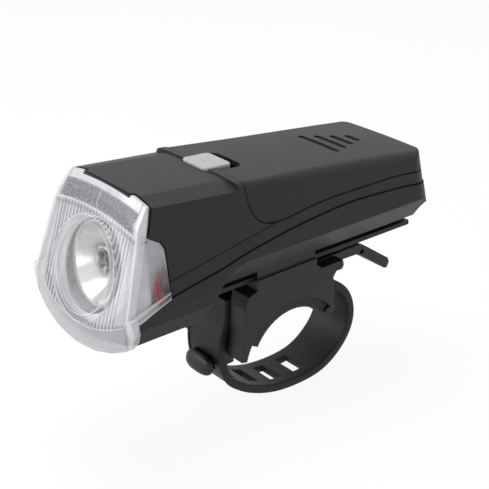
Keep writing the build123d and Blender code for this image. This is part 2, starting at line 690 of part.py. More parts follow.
def make_upper_housing(low_cut, band_cut, cover_cut, front_in, rear_in):
    front = front_env(0.0)
    rear = rear_env(0.0)
    front = front & box_at(-FAR, FAR, -FAR, COVER_SEAM[7][0], -FAR, FAR)
    shell = front + rear
    shell = shell - cover_cut
    inner = front_env(BAND_STEP) & box_at(-FAR, FAR, -FAR, COVER_SEAM[7][0], -FAR, FAR)
    stepped = (inner + (rear_env(BAND_STEP) - cover_cut)) & band_cut
    shell = (shell - band_cut) + stepped
    shell = shell - (front_in & box_at(-FAR, FAR, -FAR, COVER_SEAM[7][0], -FAR, FAR)) - rear_in
    shell = shell - lens_region(GASKET_T + SEAM_GAP)
    # forward lip under the cap's bevel
    lip = box_at(-LIP_HALF, LIP_HALF, LIP_YS[0], LIP_YS[1], 0.0, FAR)
    lip = (lip - bevel_tool(LIP_TOP_DROP)) & bevel_tool(LIP_LOW_DROP)
    lip = lip & front_env(WALL / 2)
    roof = box_at(-LIP_HALF, LIP_HALF, LENS_SEAM[0][0] + GASKET_T + SEAM_GAP, LIP_YS[1], LENS_SEAM[2][1], FAR)
    roof = roof & front_env(WALL / 2) & bevel_tool(LIP_LOW_DROP)
    shell = shell + lip + roof
    # partition between electronics and cells
    wall = box_at(-FAR, FAR, *WALL_YS, WALL_LOW_Z, WALL_TOP_Z)
    low_part = (wall & rear_env(WALL / 2)) & box_at(-FAR, FAR, -FAR, FAR, -FAR, WALL_SPLIT_Z)
    high_part = (wall & rear_env(BAY_INSET)) & box_at(-FAR, FAR, -FAR, FAR, WALL_SPLIT_Z, FAR)
    wall = low_part + high_part
    wall = wall - box_at(-WALL_OPEN[0], WALL_OPEN[0], *WALL_YS, -FAR, WALL_OPEN[1])
    shell = shell + wall
    # shelf and posts for the circuit board, deck round the button
    shell = shell + box_at(-PCB_SHELF[0], PCB_SHELF[0], PCB_YS[1] - RIB_T, PCB_SHELF[1], PCB_SHELF[2], PCB_ZS[0])
    for x, y in PCB_POSTS:
        shell = shell + (z_pin(x, y, PCB_ZS[1], PCB_POST_TOP_Z, PCB_POST_R) & front_env(WALL / 2))
    shell = shell + yz_prism(DECK, DECK_HALF)
    shell = shell - extrude(button_hole(BUTTON_GAP), amount=FAR)
    y_a, y_b = BUTTON_YS
    under = box_at(
        -BUTTON_HALF - BUTTON_FLANGE - BUTTON_GAP, BUTTON_HALF + BUTTON_FLANGE + BUTTON_GAP,
        y_a - BUTTON_FLANGE - BUTTON_GAP, y_b + BUTTON_FLANGE + BUTTON_GAP,
        BUTTON_LOW_Z - PRESS, BUTTON_LOW_Z + BUTTON_FLANGE_T + SEAM_GAP,
    )
    shell = shell - under
    shell = shell + (sink_ribs() & front_env(WALL / 2))
    shell = shell + (screw_bosses() & (front_env(WALL / 2) + rear_env(WALL / 2)))
    shell = shell - low_cut
    shell = shell - cover_cut
    for (x, y), tip in zip(SCREW_SPOTS, SCREW_TIP_ZS):
        shell = shell - z_pin(x, y, -FAR, tip + SCREW_R, SCREW_BORE_R)
    return shell


def make_lower_housing(low_keep, front_in, rear_in):
    front = front_env(0.0) & box_at(-FAR, FAR, -FAR, COVER_SEAM[7][0], -FAR, FAR)
    shell = (front + rear_env(0.0)) & low_keep
    shell = shell - (front_in & box_at(-FAR, FAR, -FAR, COVER_SEAM[7][0], -FAR, FAR)) - rear_in
    shell = shell - lens_region(GASKET_T + SEAM_GAP)
    for y in SUPPORT_YS:
        rib = box_at(-SUPPORT_HALF, SUPPORT_HALF, y, y + SUPPORT_T, BEVEL_FOOT[1] + WALL / 2, TRAY_ZS[0])
        shell = shell + (rib & rear_env(WALL / 2))
    bosses = screw_bosses() & (front_env(WALL / 2) + rear_env(WALL / 2))
    shell = shell + (bosses & low_keep)
    web = box_at(-WEB_HALF, WEB_HALF, RAIL_YS[0], RAIL_YS[1] - WEB_REAR_SETBACK, FLANGE_ZS[1], BEVEL_FOOT[1])
    ramp = yz_prism(
        ((RAIL_YS[0], BEVEL_FOOT[1]), (RAIL_YS[0], FLANGE_ZS[0]), (RAIL_FRONT_Y, BEVEL_FOOT[1])), WEB_HALF
    )
    flange = box_at(-FLANGE_HALF, FLANGE_HALF, *RAIL_YS, *FLANGE_ZS)
    flange = flange - box_at(-CATCH_NOTCH[2], CATCH_NOTCH[2], *CATCH_NOTCH[:2], *FLANGE_ZS)
    shell = shell + web + ramp + flange
    for (x, y), head in zip(SCREW_SPOTS, SCREW_HEAD_ZS):
        shell = shell - z_pin(x, y, -FAR, FAR, SCREW_BORE_R)
        shell = shell - z_pin(x, y, -FAR, head, SCREW_HEAD_R + SCREW_HEAD_FIT)
    return shell


def make_battery_cover():
    cover = rear_env(BAND_STEP) & cover_region(SEAM_GAP)
    cover = cover - rear_env(WALL + COVER_SKIN_STEP)
    mid = (BUTTON_YS[0] + U_CUT_REAR_Y) / 2
    cut = Pos(0, mid, 0) * RectangleRounded(2 * U_CUT_HALF, U_CUT_REAR_Y - BUTTON_YS[0], U_CUT_ROUND)
    cover = cover - extrude(cut, amount=FAR)
    front = box_at(-U_CUT_HALF, U_CUT_HALF, -FAR, U_CUT_REAR_Y - U_CUT_ROUND, 0.0, FAR)
    cover = cover - front
    for y, half in GRIPS:
        for (y0, z0, _), (y1, z1, _) in zip(COVER_STATIONS, COVER_STATIONS[1:]):
            if y0 <= y < y1:
                z = z0 + (z1 - z0) * (y - y0) / (y1 - y0)
        slot = Pos(0, y, z - GRIP_D - BAND_STEP) * SlotOverall(2 * half, GRIP_W)
        cover = cover - extrude(slot, amount=GRIP_D * 3)
    return cover


def make_screw(index):
    x, y = SCREW_SPOTS[index]
    head = SCREW_HEAD_ZS[index]
    screw = z_pin(x, y, head, SCREW_TIP_ZS[index], SCREW_R) + z_pin(x, y, head - SCREW_HEAD_T, head, SCREW_HEAD_R)
    w, l, d = SCREW_SLOT
    base = head - SCREW_HEAD_T
    for a, b in ((w, l), (l, w)):
        screw = screw - box_at(x - a / 2, x + a / 2, y - b / 2, y + b / 2, base, base + d)
    return screw


def cell_span(index):
    # y range of the can and the side of its nub
    room_a = TRAY_YS[0] + TRAY_WALL + TERMINAL_T
    room_b = TRAY_YS[1] - TRAY_WALL - TERMINAL_T
    if index % 2 == 0:
        return room_b - NUB_L - CELL_L, room_b - NUB_L, 1
    return room_a + NUB_L, room_a + NUB_L + CELL_L, -1


def make_cell(index):
    a, b, side = cell_span(index)
    x = CELL_XS[index]
    can = y_disc(CELL_Z, CELL_R, a, b, x)
    can = fillet(can.edges().filter_by(GeomType.CIRCLE), MIN_ROUND / 2)
    nub = y_disc(CELL_Z, NUB_R, b, b + NUB_L, x) if side > 0 else y_disc(CELL_Z, NUB_R, a - NUB_L, a, x)
    return can + nub


def make_spring(index):
    a, b, side = cell_span(index)
    room_a = TRAY_YS[0] + TRAY_WALL + TERMINAL_T
    room_b = TRAY_YS[1] - TRAY_WALL - TERMINAL_T
    y_a, y_b = (room_a, a) if side > 0 else (b, room_b)
    length = y_b - y_a - 2 * SPRING_WIRE_R
    helix = Helix(pitch=length / SPRING_TURNS, height=length, radius=SPRING_R)
    section = Plane(origin=helix @ 0, z_dir=helix % 0) * Circle(SPRING_WIRE_R)
    coil = sweep(section, path=helix)
    return Pos(CELL_XS[index], y_a + SPRING_WIRE_R, CELL_Z) * Rot(-90, 0, 0) * coil


def make_tray():
    outer = box_at(-TRAY_HALF, TRAY_HALF, *TRAY_YS, *TRAY_ZS)
    outer = outer & rear_env(BAY_INSET)
    inner_ys = (TRAY_YS[0] + TRAY_WALL, TRAY_YS[1] - TRAY_WALL)
    tray = outer
    for x in CELL_XS:
        tray = tray - y_disc(CELL_Z, CELL_R + CELL_FIT, *inner_ys, x)
        tray = tray - box_at(x - CELL_R - CELL_FIT, x + CELL_R + CELL_FIT, *inner_ys, CELL_Z, FAR)
    for x_a, x_b, front in PLATES:
        tray = tray - make_terminal(x_a, x_b, front, SEAM_GAP)
    return tray


def make_terminal(x_a, x_b, front, grow=0.0):
    y = TRAY_YS[0] + TRAY_WALL if front else TRAY_YS[1] - TRAY_WALL - TERMINAL_T
    z_a, z_b = CELL_Z - TERMINAL_Z_HALF - grow, CELL_Z + TERMINAL_Z_HALF + grow
    return box_at(x_a - TERMINAL_HALF - grow, x_b + TERMINAL_HALF + grow, y, y + TERMINAL_T, z_a, z_b)


def ring_sector(r_in, r_out, a_from, a_to, half):
    points = []
    far = r_out * 2
    for i in range(ARC_STEPS + 1):
        angle = math.radians(a_from + (a_to - a_from) * i / ARC_STEPS)
        points.append((BAR_Y + far * math.cos(angle), BAR_Z + far * math.sin(angle)))
    wedge = yz_prism([(BAR_Y, BAR_Z)] + points, half)
    tube = x_pin(BAR_Y, BAR_Z, half, r_out) - x_pin(BAR_Y, BAR_Z, half, r_in)
    return tube & wedge


def make_bracket_base():
    outline = list(BASE_OUTLINE) + [(BAR_Y, BAR_Z)] + list(BASE_FRONT)
    base = yz_prism(outline, BASE_HALF)
    base = base - (x_pin(BAR_Y, BAR_Z, FAR, PAD_R))
    tip = (BASE_OUTLINE[-1], BASE_OUTLINE[-2], BASE_OUTLINE[-3], (BAR_Y + BAR_R, BASE_OUTLINE[-1][1]))
    rear_tip = yz_prism(tip, BASE_HALF)
    rear_tip = rear_tip - x_pin(BAR_Y, BAR_Z, FAR, LEG_R)
    base = base + rear_tip
    inner = FLANGE_HALF + RUN_GAP
    base = base - box_at(-inner, inner, 0.0, FAR, FLANGE_ZS[0] - RUN_GAP, 0.0)
    for sign in (1, -1):
        wall = box_at(sign * inner, sign * CHANNEL_OUT_HALF, *CHANNEL_YS, FLANGE_ZS[0] - WALL_ROOT, LIP_TOP_Z)
        lip = box_at(
            sign * (WEB_HALF + RUN_GAP), sign * CHANNEL_OUT_HALF, *CHANNEL_YS, FLANGE_ZS[1] + RUN_GAP, LIP_TOP_Z
        )
        base = base + wall + lip
    base = base - yz_prism(FRONT_SLOT, STRAP_ROOM_HALF)
    base = base - yz_prism(POCKET, POCKET_HALF)
    base = base - yz_prism(LEVER_ROOM, LEVER_ROOM_HALF)
    base = base - yz_prism(ROOT_ROOM, STRAP_ROOM_HALF)
    leg = ring_sector(LEG_R, LEG_OUT_R, *LEG_ARC, LEG_HALF)
    leg = leg - yz_prism(FRONT_SLOT, FAR)
    neck = yz_prism(NECK, NECK_HALF)
    head = yz_prism(HOOK_HEAD, NECK_HALF)
    head = fillet(head.edges().filter_by(Axis.X), HOOK_ROUND / 2)
    head = fillet(head.faces().sort_by(Axis.X)[-1].edges() + head.faces().sort_by(Axis.X)[0].edges(), HOOK_ROUND / 3)
    base = base - ring_sector(BAR_R, PAD_R, PAD_ARC[0] - PAD_END_SLACK, PAD_ARC[1] + PAD_END_SLACK, FAR)
    base = base + leg + neck + head
    base = base - x_pin(LEVER_PIN_Y, LEVER_PIN_Z, LEVER_PIN_HALF, LEVER_PIN_R)
    base = base - x_pin(EYE_Y, EYE_Z, EYE_PIN_HALF, EYE_PIN_R)
    return base


def make_saddle_pad():
    return ring_sector(BAR_R + PAD_FIT, PAD_R, *PAD_ARC, PAD_HALF)


def make_release_lever():
    body = yz_prism(LEVER_PROFILE, LEVER_HALF) + x_pin(LEVER_PIN_Y, LEVER_PIN_Z, LEVER_HALF, LEVER_BOSS_R)
    body = body + yz_prism(TOOTH, TOOTH_HALF)
    y, z, r = LEVER_NOTCH
    for sign in (1, -1):
        body = body - (Pos(sign * LEVER_HALF, 0, 0) * x_pin(y, z, LEVER_NOTCH_IN, r))
    return body - x_pin(LEVER_PIN_Y, LEVER_PIN_Z, FAR, LEVER_PIN_R + RUN_GAP / 2)


def strap_points():
    path = Plane.YZ * Spline(*STRAP_PATH)
    points = [path @ (i / SAMPLES) for i in range(SAMPLES + 1)]
    tangents = [path % (i / SAMPLES) for i in range(SAMPLES + 1)]
    return points, tangents


def strap_strip(low, high, half, x_mid=0.0):
    points, tangents = strap_points()
    step = SAMPLES // STRIP_STEPS
    side_a, side_b = [], []
    for p, t in list(zip(points, tangents))[::step]:
        n = (t.Z, -t.Y)
        side_a.append((p.Y + n[0] * low, p.Z + n[1] * low))
        side_b.append((p.Y + n[0] * high, p.Z + n[1] * high))
    lines = [Spline(*side_a), Line(side_a[-1], side_b[-1]), Spline(*reversed(side_b)), Line(side_b[0], side_a[0])]
    face = Plane.YZ * make_face(lines)
    return Pos(x_mid, 0, 0) * extrude(face, amount=half, both=True)


def make_strap():
    strap = strap_strip(-STRAP_T / 2, STRAP_T / 2, STRAP_HALF)
    rim_half = STRAP_RIM_W / 2
    for sign in (1, -1):
        x = sign * (STRAP_HALF - rim_half)
        strap = strap + strap_strip(-STRAP_T / 2 - STRAP_RIM_T, 0.0, rim_half, x)
    strap = strap + x_pin(EYE_Y, EYE_Z, STRAP_HALF, EYE_R)
    strap = strap - x_pin(EYE_Y, EYE_Z, FAR, EYE_PIN_R)
    points, tangents = strap_points()
    lengths = [0.0]
    for p, q in zip(points, points[1:]):
        lengths.append(lengths[-1] + (q - p).length)
    front = [i for i, p in enumerate(points) if p.Y < HOOK_FIND[0] and abs(p.Z - STRAP_HOOK_Z) < HOOK_FIND[1]]
    hook = lengths[front[len(front) // 2]]
    for k in range(-STRAP_SLOTS_DOWN, STRAP_SLOTS_UP + 1):
        want = hook + k * STRAP_PITCH
        i = min(range(len(lengths)), key=lambda j: abs(lengths[j] - want))
        p, t = points[i], tangents[i]
        plane = Plane(origin=(0, p.Y, p.Z), x_dir=(1, 0, 0), z_dir=(0, t.Z, -t.Y))
        strap = strap - plane.location * Box(STRAP_SLOT_W, STRAP_SLOT_L, STRAP_CUT_T)
    return strap


def save(shape, name):
    moved = Pos(0, -BAR_Y, -BAR_Z) * shape
    solids = moved.solids()
    if len(solids) != 1:
        print(name, "has", len(solids), "solids", [round(s.volume, 2) for s in solids])
        solids = sorted(solids, key=lambda s: -s.volume)
    export_step(solids[0], "parts/" + name + ".step")


def main():
    low_cut = seam_region_below(LOW_SEAM)
    low_keep = seam_region_below(LOW_SEAM, SEAM_GAP)
    band_cut = seam_region_below(BAND_SEAM)
    cover_cut = cover_region(0.0)
    front_in = front_env(WALL)
    rear_in = rear_env(WALL)
    save(make_front_lens(), "front_lens")
    save(make_lens_gasket(), "lens_gasket")
    save(make_reflector(), "reflector")
    save(make_led(), "led_emitter")
    save(make_led_board(), "led_board")
    save(make_heat_sink(), "heat_sink")
    save(make_wire(RED_PATH), "lead_wire_red")
    save(make_wire(BLACK_PATH), "lead_wire_black")
    save(make_upper_housing(low_cut, band_cut, cover_cut, front_in, rear_in), "upper_housing")
    save(make_lower_housing(low_keep, front_in, rear_in), "lower_housing")
    save(make_battery_cover(), "battery_cover")
    save(make_button(), "push_button")
    save(make_circuit_board(), "circuit_board")
    save(make_switch(), "tactile_switch")
    save(make_tray(), "battery_tray")
    for i in range(3):
        save(make_cell(i), "battery_cell_" + str(i + 1))
        save(make_spring(i), "contact_spring_" + str(i + 1))
    for plate, name in zip(PLATES, PLATE_NAMES):
        save(make_terminal(*plate), name)
    for i in range(4):
        save(make_screw(i), "housing_screw_" + str(i + 1))
    save(make_bracket_base(), "bracket_base")
    save(make_saddle_pad(), "saddle_pad")
    save(make_release_lever(), "release_lever")
    save(x_pin(LEVER_PIN_Y, LEVER_PIN_Z, LEVER_PIN_HALF, LEVER_PIN_R), "lever_pin")
    save(make_strap(), "strap")
    save(x_pin(EYE_Y, EYE_Z, EYE_PIN_HALF, EYE_PIN_R), "strap_pin")


main()
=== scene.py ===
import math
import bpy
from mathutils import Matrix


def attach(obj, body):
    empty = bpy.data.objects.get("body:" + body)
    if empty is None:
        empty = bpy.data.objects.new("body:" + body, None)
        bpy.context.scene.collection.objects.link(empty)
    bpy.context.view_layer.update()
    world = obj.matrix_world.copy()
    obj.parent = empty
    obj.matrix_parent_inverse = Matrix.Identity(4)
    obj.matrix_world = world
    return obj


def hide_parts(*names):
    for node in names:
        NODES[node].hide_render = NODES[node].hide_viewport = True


bl_info = {
    "name": "Bicycle Headlight Finish",
    "version": (1, 0, 0),
    "blender": (4, 5, 0),
    "location": "View3D > Sidebar > Headlight",
    "description": "Dresses the headlight's frame with its finishes, fine pieces and stage",
    "category": "Object",
}

import bmesh
import bpy
import numpy as np
from bpy.props import FloatProperty, FloatVectorProperty, PointerProperty
from bpy.types import Operator, Panel, PropertyGroup
from mathutils import Vector

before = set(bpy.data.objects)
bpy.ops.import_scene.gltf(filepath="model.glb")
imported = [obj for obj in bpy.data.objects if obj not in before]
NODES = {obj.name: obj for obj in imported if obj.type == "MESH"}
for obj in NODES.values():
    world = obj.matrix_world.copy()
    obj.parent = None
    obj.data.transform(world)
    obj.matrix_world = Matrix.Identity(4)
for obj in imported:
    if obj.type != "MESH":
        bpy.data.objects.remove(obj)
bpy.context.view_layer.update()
MM = 0.001

# The sizes are in millimetres from the lamp's own datum, where the frame's origin has this y and z
LAMP_Y = 23.5
LAMP_Z = -47.2

# The sockets that the Mix node uses for colours: share, first colour, second colour, and its output
MIX_SOCKETS = (0, 6, 7)
MIX_OUTPUT = 2
EDGE_SAMPLES = 4
MATT_BLACK = (0.002, 0.002, 0.002, 1.0)


class Field:
    """A value that varies over a finish. Arithmetic on it adds Math nodes to the same tree."""

    def __init__(self, finish, socket):
        self.finish = finish
        self.socket = socket

    def math(self, operation, *others, clamp=False):
        values = dict(enumerate((self,) + others))
        return self.finish.node("ShaderNodeMath", {"operation": operation, "use_clamp": clamp}, values)

    def __add__(self, other):
        return self.math("ADD", other)

    __radd__ = __add__

    def __mul__(self, other):
        return self.math("MULTIPLY", other)

    __rmul__ = __mul__

    def __sub__(self, other):
        return self.math("SUBTRACT", other)

    def __rsub__(self, other):
        return (self * -1.0) + other

    def __abs__(self):
        return self.math("ABSOLUTE")

    def above(self, level):
        return self.math("GREATER_THAN", level)

    def below(self, level):
        return self.math("LESS_THAN", level)

    def clip(self):
        return self.math("ADD", 0.0, clamp=True)

    def sine(self):
        return self.math("SINE")

    def root(self):
        return self.math("SQRT")

    def rise(self, low, high):
        """Nought below low, one above high, straight between them."""
        return ((self - low) * (1.0 / (high - low))).clip()

    def between(self, low, high):
        return self.above(low) * self.below(high)

    def near(self, level, reach):
        """One at level, falling to nought at reach on either side."""
        return 1.0 - (abs(self - level) * (1.0 / reach)).clip()

    def to(self, first, second):
        """The number first where this is nought and second where it is one."""
        return (second - first) * self + first

    def most(self, other):
        return self.math("MAXIMUM", other)


class Finish:
    """A node-based material on one Principled shader."""

    def __init__(self, name, **numbers):
        self.material = bpy.data.materials.new(name)
        self.material.use_nodes = True
        self.tree = self.material.node_tree
        self.tree.nodes.clear()
        self.output = self.tree.nodes.new("ShaderNodeOutputMaterial")
        self.shader = self.tree.nodes.new("ShaderNodeBsdfPrincipled")
        self.show(self.shader)
        for key, value in numbers.items():
            self.set(key.replace("_", " "), value)

    def show(self, shader):
        """Links the shader to the output."""
        self.shown = shader.outputs[0]
        self.tree.links.new(self.shown, self.output.inputs["Surface"])

    def cover(self, shader):
        """Mixes the shader over the one shown so far, and gives the socket that takes its share."""
        blend = self.tree.nodes.new("ShaderNodeMixShader")
        self.tree.links.new(self.shown, blend.inputs[1])
        self.tree.links.new(shader.outputs[0], blend.inputs[2])
        self.show(blend)
        return blend.inputs[0]

    def put(self, value, socket):
        """Links a Field to the socket, or writes a constant on it."""
        if isinstance(value, Field):
            self.tree.links.new(value.socket, socket)
        else:
            socket.default_value = value

    def set(self, key, value):
        self.put(value, self.shader.inputs[key])

    def darken(self, share):
        """Mixes a matt black over the surface by share."""
        matt = self.tree.nodes.new("ShaderNodeBsdfPrincipled")
        for key, value in (("Base Color", MATT_BLACK), ("Roughness", 1.0), ("Specular IOR Level", 0.0)):
            self.put(value, matt.inputs[key])
        self.put(share, self.cover(matt))

    def node(self, kind, settings=None, inputs=None, output=0):
        """Adds a node with its settings and inputs, and gives the Field of one output."""
        made = self.tree.nodes.new(kind)
        for key, value in (settings or {}).items():
            setattr(made, key, value)
        for key, value in (inputs or {}).items():
            self.put(value, made.inputs[key])
        return Field(self, made.outputs[output])

    def ramp(self, place, stops):
        """Value at the place, going straight from each stop, which is a place and a value, to the next."""
        made = self.tree.nodes.new("ShaderNodeValToRGB")
        elements = made.color_ramp.elements
        elements.remove(elements[-1])
        for index, (share, value) in enumerate(stops):
            stop = elements[0] if index == 0 else elements.new(share)
            stop.position = share
            stop.color = (value, value, value, 1.0)
        self.put(place, made.inputs[0])
        return Field(self, made.outputs[0])

    def place(self):
        return self.node("ShaderNodeTexCoord", output="Object")

    def axis(self, index):
        return self.node("ShaderNodeSeparateXYZ", inputs={0: self.place()}, output=index)

    def noise(self, size, detail=2.0, rough=0.5):
        """Noise whose grains are about size millimetres across."""
        inputs = {"Vector": self.place(), "Scale": 1.0 / (size * MM), "Detail": detail, "Roughness": rough}
        return self.node("ShaderNodeTexNoise", inputs=inputs, output=0)

    def mix(self, share, colour_a, colour_b):
        """The first colour where share is nought, the second where it is one."""
        inputs = dict(zip(MIX_SOCKETS, (share, colour_a, colour_b)))
        return self.node("ShaderNodeMix", {"data_type": "RGBA"}, inputs, MIX_OUTPUT)

    def spots(self):
        """Place on the lamp in millimetres from its own datum: x, y and z."""
        x, y, z = [self.axis(index) * (1.0 / MM) for index in range(3)]
        return x, y + LAMP_Y, z + LAMP_Z

    def soft_edges(self, radius):
        """Normal that turns smoothly round edges within radius millimetres."""
        return self.node("ShaderNodeBevel", {"samples": EDGE_SAMPLES}, {"Radius": radius * MM})

    def bump(self, height, depth, normal=None):
        """Bump whose full height is depth millimetres."""
        inputs = {"Height": height, "Distance": depth * MM, "Strength": 1.0}
        if normal is not None:
            inputs["Normal"] = normal
        return self.node("ShaderNodeBump", inputs=inputs)


def rgba(colour):
    """The colour with full cover."""
    return (colour[0], colour[1], colour[2], 1.0)


def tones(colour, spread):
    """The colour made darker, and made lighter, by the spread."""
    return [rgba([min(1.0, part * (1.0 + way * spread)) for part in colour]) for way in (-1.0, 1.0)]


# Spark texture: detail and roughness of its noise. Clouding: its size in grains, and its share in the colour. Both
# vary the roughness, by their amounts on either side of the one that is asked for
SPARK = (3.0, 0.62)
CLOUD = (3.0, 0.5)
CLOUD_GRAINS = 60.0
CLOUD_SHARE = 0.6
SPARK_ROUGHNESS = 0.10
CLOUD_ROUGHNESS = 0.08
SHADE_SHARE = 0.9


def moulded(name, colour, rough, grain, depth, spread=0.12, specular=0.5, edge=0.0, marks=None, shade=None):
    """Moulded plastic or rubber: fine spark texture in the bump, faint clouding in colour and roughness. Marks give
    a mask with its colour and its lift, and on the pad's ribs that colour is a painted highlight. Shade gives a mask
    that is drawn black."""
    finish = Finish(name, Specular_IOR_Level=specular)
    fine = finish.noise(grain, *SPARK)
    cloud = finish.noise(grain * CLOUD_GRAINS, *CLOUD)
    tone = finish.mix((cloud * CLOUD_SHARE + fine * (1.0 - CLOUD_SHARE)).clip(), *tones(colour, spread))
    height = fine
    if marks:
        mask, mark_and_highlight_colour, lift = marks(finish)
        tone = finish.mix(mask, tone, mark_and_highlight_colour)
        height = fine + mask * lift
    least = rough - (SPARK_ROUGHNESS + CLOUD_ROUGHNESS) / 2.0
    finish.set("Base Color", tone)
    finish.set("Roughness", (fine * SPARK_ROUGHNESS + cloud * CLOUD_ROUGHNESS + least).clip())
    finish.set("Normal", finish.bump(height, depth, finish.soft_edges(edge) if edge else None))
    if shade:
        finish.darken(shade(finish) * SHADE_SHARE)
    return finish


METAL_SPARK = (3.0, 0.6)
METAL_CLOUD = (2.0, 0.5)
METAL_CLOUD_GRAINS = 20.0
METAL_ROUGHNESS = 0.12
METAL_DEPTH = 0.004


def metal(name, colour, rough, grain=0.25, spread=0.1):
    """Plain metal: clouding in the colour, and a fine grain in roughness and bump."""
    finish = Finish(name, Metallic=1.0)
    fine = finish.noise(grain, *METAL_SPARK)
    cloud = finish.noise(grain * METAL_CLOUD_GRAINS, *METAL_CLOUD)
    finish.set("Base Color", finish.mix(cloud.clip(), *tones(colour, spread)))
    finish.set("Roughness", (fine * METAL_ROUGHNESS + (rough - METAL_ROUGHNESS / 2.0)).clip())
    finish.set("Normal", finish.bump(fine, METAL_DEPTH))
    return finish


# Clear cap: its face leans back by this share of the height, and depths are counted squarely from the face. Of each
# pair, a line, the glow, and the dusk's z have their middle and their reach, and the others their low and their high
# level
FACE_Y0 = -41.1
FACE_LEAN = 0.293
FACE_SQUARE = math.sqrt(1.0 + FACE_LEAN ** 2)
FACE_HALF = 22.6
FACE_FLARE = -0.155
FACE_EDGE_RISE = (-1.2, -0.7)
FACE_INNER_LINE = (-2.1, 0.35)
FACE_DEPTH = 2.5
SKIN_DEPTH = 0.5
UNDER_DEPTH = 0.9
RING_Z = -2.0
RING_OUT_R = 15.4
RING_IN_R = 13.0
RING_LINE = (0.1, 0.4)
FLUTE_PITCH = 1.55
FLUTE_HALF = 18.0
FLUTE_ZS = (-15.6, 14.5)
FLUTE_RISE = (0.45, 0.8)
CHIN_WALL_Z = -10.0
CHIN_LINE_Z = -17.4
CHIN_LINE_BEND = 0.0124
CHIN_LINE_HALF = 22.5
CHIN_LINE = (0.2, 0.35)
LEDGE_SLOPE = 0.2703
LEDGE_TOP_Z = 2.86
LEDGE_X = 22.6
LEDGE_SPAN = (-2.1, 0.1)
LEDGE_TOP_LINE = (-0.1, 0.4)
LEDGE_FOOT_LINE = (-1.9, 0.35)
WINDOW_DEPTHS = (5.5, 8.0)
WINDOW_FOOT = (-9.5, -8.5)
WINDOW_MILK_ZS = (-6.0, 8.0)
GLOW_Y = (-32.5, 1.8)
GLOW_Z = (-3.5, 7.0)
GLOW_TINT = 1.4
DUSK_YS = (-32.3, -30.8)
DUSK_Z = (-4.0, 8.0)
ARCH_Z = 14.9
ARCH_R = 110.0
ARCH_DEPTH = 3.5
ARCH_LINE = (-0.5, 0.6)
UNDER_ARCH_LINE = (-1.7, 0.6)
CROWN_RISE = (-0.5, 0.0)
CROWN_RIM_YS = (-34.6, -34.2)
BAND_HALF = 17.6
BAND_FROST = 0.62
MARK_LINE = (0.0, 0.35)
CLEAR_WHITE = (0.62, 0.63, 0.66, 1.0)
CLEAR_SHADE = (0.22, 0.22, 0.24, 1.0)
CLEAR_LIGHT = (0.78, 0.78, 0.81, 1.0)
WINDOW_RED = (0.42, 0.03, 0.04, 1.0)
# The window's dusk: painted shade of the lamp's dark inside, over its black housing
WINDOW_DARK = (0.02, 0.016, 0.016, 1.0)
BAND_GREY = (0.09, 0.09, 0.10, 1.0)
CHIN_GREY = (0.47, 0.47, 0.50, 1.0)

# How dense the clear plastic looks: on each zone by itself, and at least, where a zone lies over the others. The
# flutes' pair is for the land and the groove, and the window's numbers are by height, by grain and least
MILK_PLAIN = 0.34
MILK_FLUTE = (0.68, 0.5)
MILK_DISC = 0.05
MILK_RING = 0.16
MILK_UNDER = 0.3
MILK_WALLS = 0.50
MILK_LEDGE = 0.45
MILK_WINDOW = (0.4, 0.2, 0.02)
MILK_GLOW = 0.9
MILK_DUSK = 0.85
MILK_LEAST = {
    "rims": 0.65, "edge": 0.7, "chin": 0.6, "crown": 0.88, "arch": 0.8, "inner_edge": 0.45, "under_arch": 0.6,
    "chin_line": 0.8, "ledge_lines": 0.9,
}
MILK_CLOUD = (0.93, 1.04)

# Bright lines and how strong each is, and the edge's least and greatest strength. On the rims, arch, chin line, ledge
# lines and edge they are painted highlights
LIGHT_LINES = {"rims": 0.7, "mark": 0.5, "arch": 1.0, "chin_line": 1.0, "ledge_lines": 1.0}
LIGHT_EDGE = (0.5, 1.0)

# Frosting and clouding in clear plastic: size in millimetres, detail and roughness of the noise, and its cut levels
FROST = (0.34, 2.0, 0.6)
FROST_RISE = (0.36, 0.64)
CLEAR_CLOUD = (3.0, 2.0, 0.5)
FLECKS = (4.0, 2.0, 0.5)
CLOUD_RISE = (0.3, 0.7)
CLEAR_IOR = 1.49
CAP_ROUGHNESS = 0.07
FROST_ROUGHNESS = (0.15, 0.35)
FROST_DEPTH = 0.02


